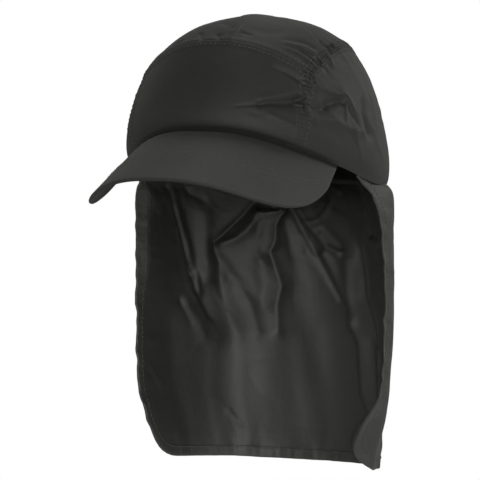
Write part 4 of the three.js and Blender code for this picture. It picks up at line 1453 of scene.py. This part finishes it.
# The folded flap moved off its middle along its normal.
def flapFace(across, down, off):
    across, down = np.broadcast_arrays(np.asarray(across, float), np.asarray(down, float))
    normal = sheetNormals(flapFolded, across, down)
    off = np.broadcast_to(off, across.shape)
    return flapFolded(across, down) + normal * off[..., None], normal


# How far down the cloth reaches, a margin in from its edge: a shallow curve, round corners.
def flapReach(across, margin):
    radius = flap["corner"] - margin
    into = np.maximum(np.abs(across) - (flap["halfWidth"] - flap["corner"]), 0)
    corner = radius - np.sqrt(np.maximum(radius ** 2 - into ** 2, 0))
    rise = np.where(across < 0, flap["riseRight"], flap["riseLeft"])
    return flap["drop"] - margin - rise * (across / flap["halfWidth"]) ** 2 - corner


# Places across the flap: even steps in the middle, and a quarter circle at each corner.
def flapPlaces(margin):
    straight = flap["halfWidth"] - flap["corner"]
    middle = np.linspace(-straight, straight, flap["columns"])
    angle = np.arange(1, flap["cornerSteps"] + 1) / flap["cornerSteps"] * math.pi / 2
    corner = straight + (flap["corner"] - margin) * np.sin(angle)
    return np.concatenate([-corner[::-1], middle, corner])


# The flap's cloth: rows from inside the crown down to just inside the hem, in two faces.
def makeFlap():
    margin = hem["width"] - 1
    places = flapPlaces(margin)
    shares = np.linspace(0, 1, flap["rows"]) ** flap["crowding"]
    hanging = shares[:, None] * flapReach(places, margin)[None]
    tucked = np.linspace(-flap["tuck"], -0.6, 6)[:, None] * np.ones_like(places)
    down = np.concatenate([tucked, hanging])
    across = np.broadcast_to(places, down.shape)
    outer, _ = flapFace(across, down, flap["cloth"] / 2)
    inner, _ = flapFace(across, down, -flap["cloth"] / 2)
    uv = np.stack([across, down], axis=-1)
    piece = clothWall("neck_flap_cloth", outer, inner, uv, np.zeros_like(down), flapClothPaintedLighter)
    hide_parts("neck_flap")
    return piece


# The line of the flap's edge, a margin in from it: down one side, along the bottom, up.
def hemLine(margin):
    places = flapPlaces(margin)
    side = places[-1]
    shares = (np.arange(hem["stationsDown"]) / hem["stationsDown"]) ** 1.05
    downs = np.maximum(shares * flapReach(side, margin), hem["topDrop"])
    first = np.stack([np.full_like(downs, -side), downs], axis=-1)
    bottom = np.stack([places, flapReach(places, margin)], axis=-1)
    last = np.stack([np.full_like(downs, side), downs], axis=-1)[::-1]
    return np.concatenate([first, bottom, last])


# The folded hem: a flat rounded section carried along the flap's edge, puckered by its row.
def makeHem():
    outerLine, innerLine = hemLine(0), hemLine(hem["width"])
    arc = arcLength(np.concatenate([outerLine, np.zeros((len(outerLine), 1))], axis=1))
    angle = np.arange(hem["cornersAround"]) / hem["cornersAround"] * 2 * math.pi
    inward = 0.5 - 0.5 * np.sign(np.cos(angle)) * np.abs(np.cos(angle)) ** 0.35
    rise = np.sign(np.sin(angle)) * np.abs(np.sin(angle)) ** 0.6 * hem["thickness"] / 2
    place = mix(outerLine[:, None], innerLine[:, None], inward[None, :, None])
    waves = softNoise(onSheet(arc, 0), hem["puckerPitch"], 61)
    fine = softNoise(onSheet(arc, 0), hem["puckerPitch"] * 0.45, 62)
    pucker = hem["pucker"] * (waves[:, None] * (1 - 0.3 * inward) + 0.5 * fine[:, None] * (1 - inward))
    row = np.exp(-(((inward * hem["width"] - hem["rowIn"]) / 0.8) ** 2))
    swell = np.sign(rise) * (0.18 * fine[:, None] - 0.3 * row[None])
    sections, _ = flapFace(place[..., 0], place[..., 1], rise[None] + pucker + swell)
    uv = np.stack(np.broadcast_arrays((inward * 8)[None], arc[:, None]), axis=-1)
    wearAndShade = 0.15 + np.broadcast_to(0.3 * (1 - inward) ** 4, sections.shape[:2]) * (0.6 + 0.4 * waves[:, None])
    piece = clothLoft("flap_hem_folded", sections, False, uv, np.clip(wearAndShade, 0, 1), flapClothPaintedLighter)
    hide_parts("flap_hem")
    line = hemLine(hem["rowIn"])
    lineArc = arcLength(np.concatenate([line, np.zeros((len(line), 1))], axis=1))
    wavesRow = np.interp(lineArc / lineArc[-1], arc / arc[-1], waves)
    rows = []
    for face in (-1, 1):
        off = face * (hem["thickness"] / 2 - 0.12) + hem["pucker"] * 0.75 * wavesRow
        points, normal = flapFace(line[:, 0], line[:, 1], off)
        rows.append((points, normal * face))
    stitching = makeStitching("flap_hem_stitching", rows)
    return piece, stitching


neckFlap = makeFlap()
flapHem, hemStitching = makeHem()
print("flap made")


# Floor, light and surroundings

stage = {
    "floorHeight": -1.0,
    "floorRadius": 3.0,
    "floorTone": 0.92,
    "floorSides": 96,
    "floorRoughness": 0.9,
    "aimHeight": -0.04,
    "worldLight": 0.125,
    "lightDistance": 2.6,
    "lampColour": (0.97, 1.0, 0.93),
}
lights = [
    {"name": "frontBox", "turn": 4, "height": 12, "size": 1.3, "power": 26},
    {"name": "lowRightBox", "turn": 64, "height": -8, "size": 1.3, "power": 6},
    {"name": "backRightBox", "turn": 112, "height": 24, "size": 1.3, "power": 8},
    {"name": "leftBox", "turn": -80, "height": 14, "size": 1.3, "power": 4.5},
    {"name": "highBackBox", "turn": 160, "height": 70, "size": 1.3, "power": 7},
]


# A pale round floor far below, an even surrounding light and soft round lamps.
def makeStage():
    material = bpy.data.materials.new("pale_floor")
    material.use_nodes = True
    tone = stage["floorTone"]
    material.node_tree.nodes["Principled BSDF"].inputs["Base Color"].default_value = (tone, tone, tone, 1)
    material.node_tree.nodes["Principled BSDF"].inputs["Roughness"].default_value = stage["floorRoughness"]
    angle = np.arange(stage["floorSides"]) / stage["floorSides"] * 2 * math.pi
    radius = stage["floorRadius"]
    level = np.full(stage["floorSides"], stage["floorHeight"])
    rimPoints = np.stack([radius * np.cos(angle), radius * np.sin(angle), level], axis=1)
    mesh = bpy.data.meshes.new("floor")
    mesh.from_pydata(rimPoints.tolist(), [], [list(range(stage["floorSides"]))])
    mesh.materials.append(material)
    floor = bpy.data.objects.new("floor", mesh)
    bpy.context.collection.objects.link(floor)

    world = bpy.data.worlds.new("studio")
    bpy.context.scene.world = world
    world.use_nodes = True
    nodes, links = world.node_tree.nodes, world.node_tree.links
    background = nodes["Background"]
    background.inputs["Color"].default_value = (1, 1, 1, 1)
    path = nodes.new("ShaderNodeLightPath")
    strength = nodes.new("ShaderNodeMapRange")
    strength.inputs["To Min"].default_value = stage["worldLight"]
    strength.inputs["To Max"].default_value = 1.0
    links.new(path.outputs["Is Camera Ray"], strength.inputs["Value"])
    links.new(strength.outputs["Result"], background.inputs["Strength"])

    for spec in lights:
        lamp = bpy.data.lights.new(spec["name"], "AREA")
        lamp.shape = "DISK"
        lamp.size = spec["size"]
        lamp.energy = spec["power"]
        lamp.color = stage["lampColour"]
        box = bpy.data.objects.new(spec["name"], lamp)
        bpy.context.collection.objects.link(box)
        _, _, out = viewAxes(cameraPlace["azimuth"] + spec["turn"], spec["height"])
        box.location = out * stage["lightDistance"] + Vector((0, 0, stage["aimHeight"]))
        box.rotation_mode = "QUATERNION"
        box.rotation_quaternion = (-out).to_track_quat("-Z", "Y")
    bpy.context.scene.view_settings.view_transform = "Standard"


makeStage()
print("stage and lights made")
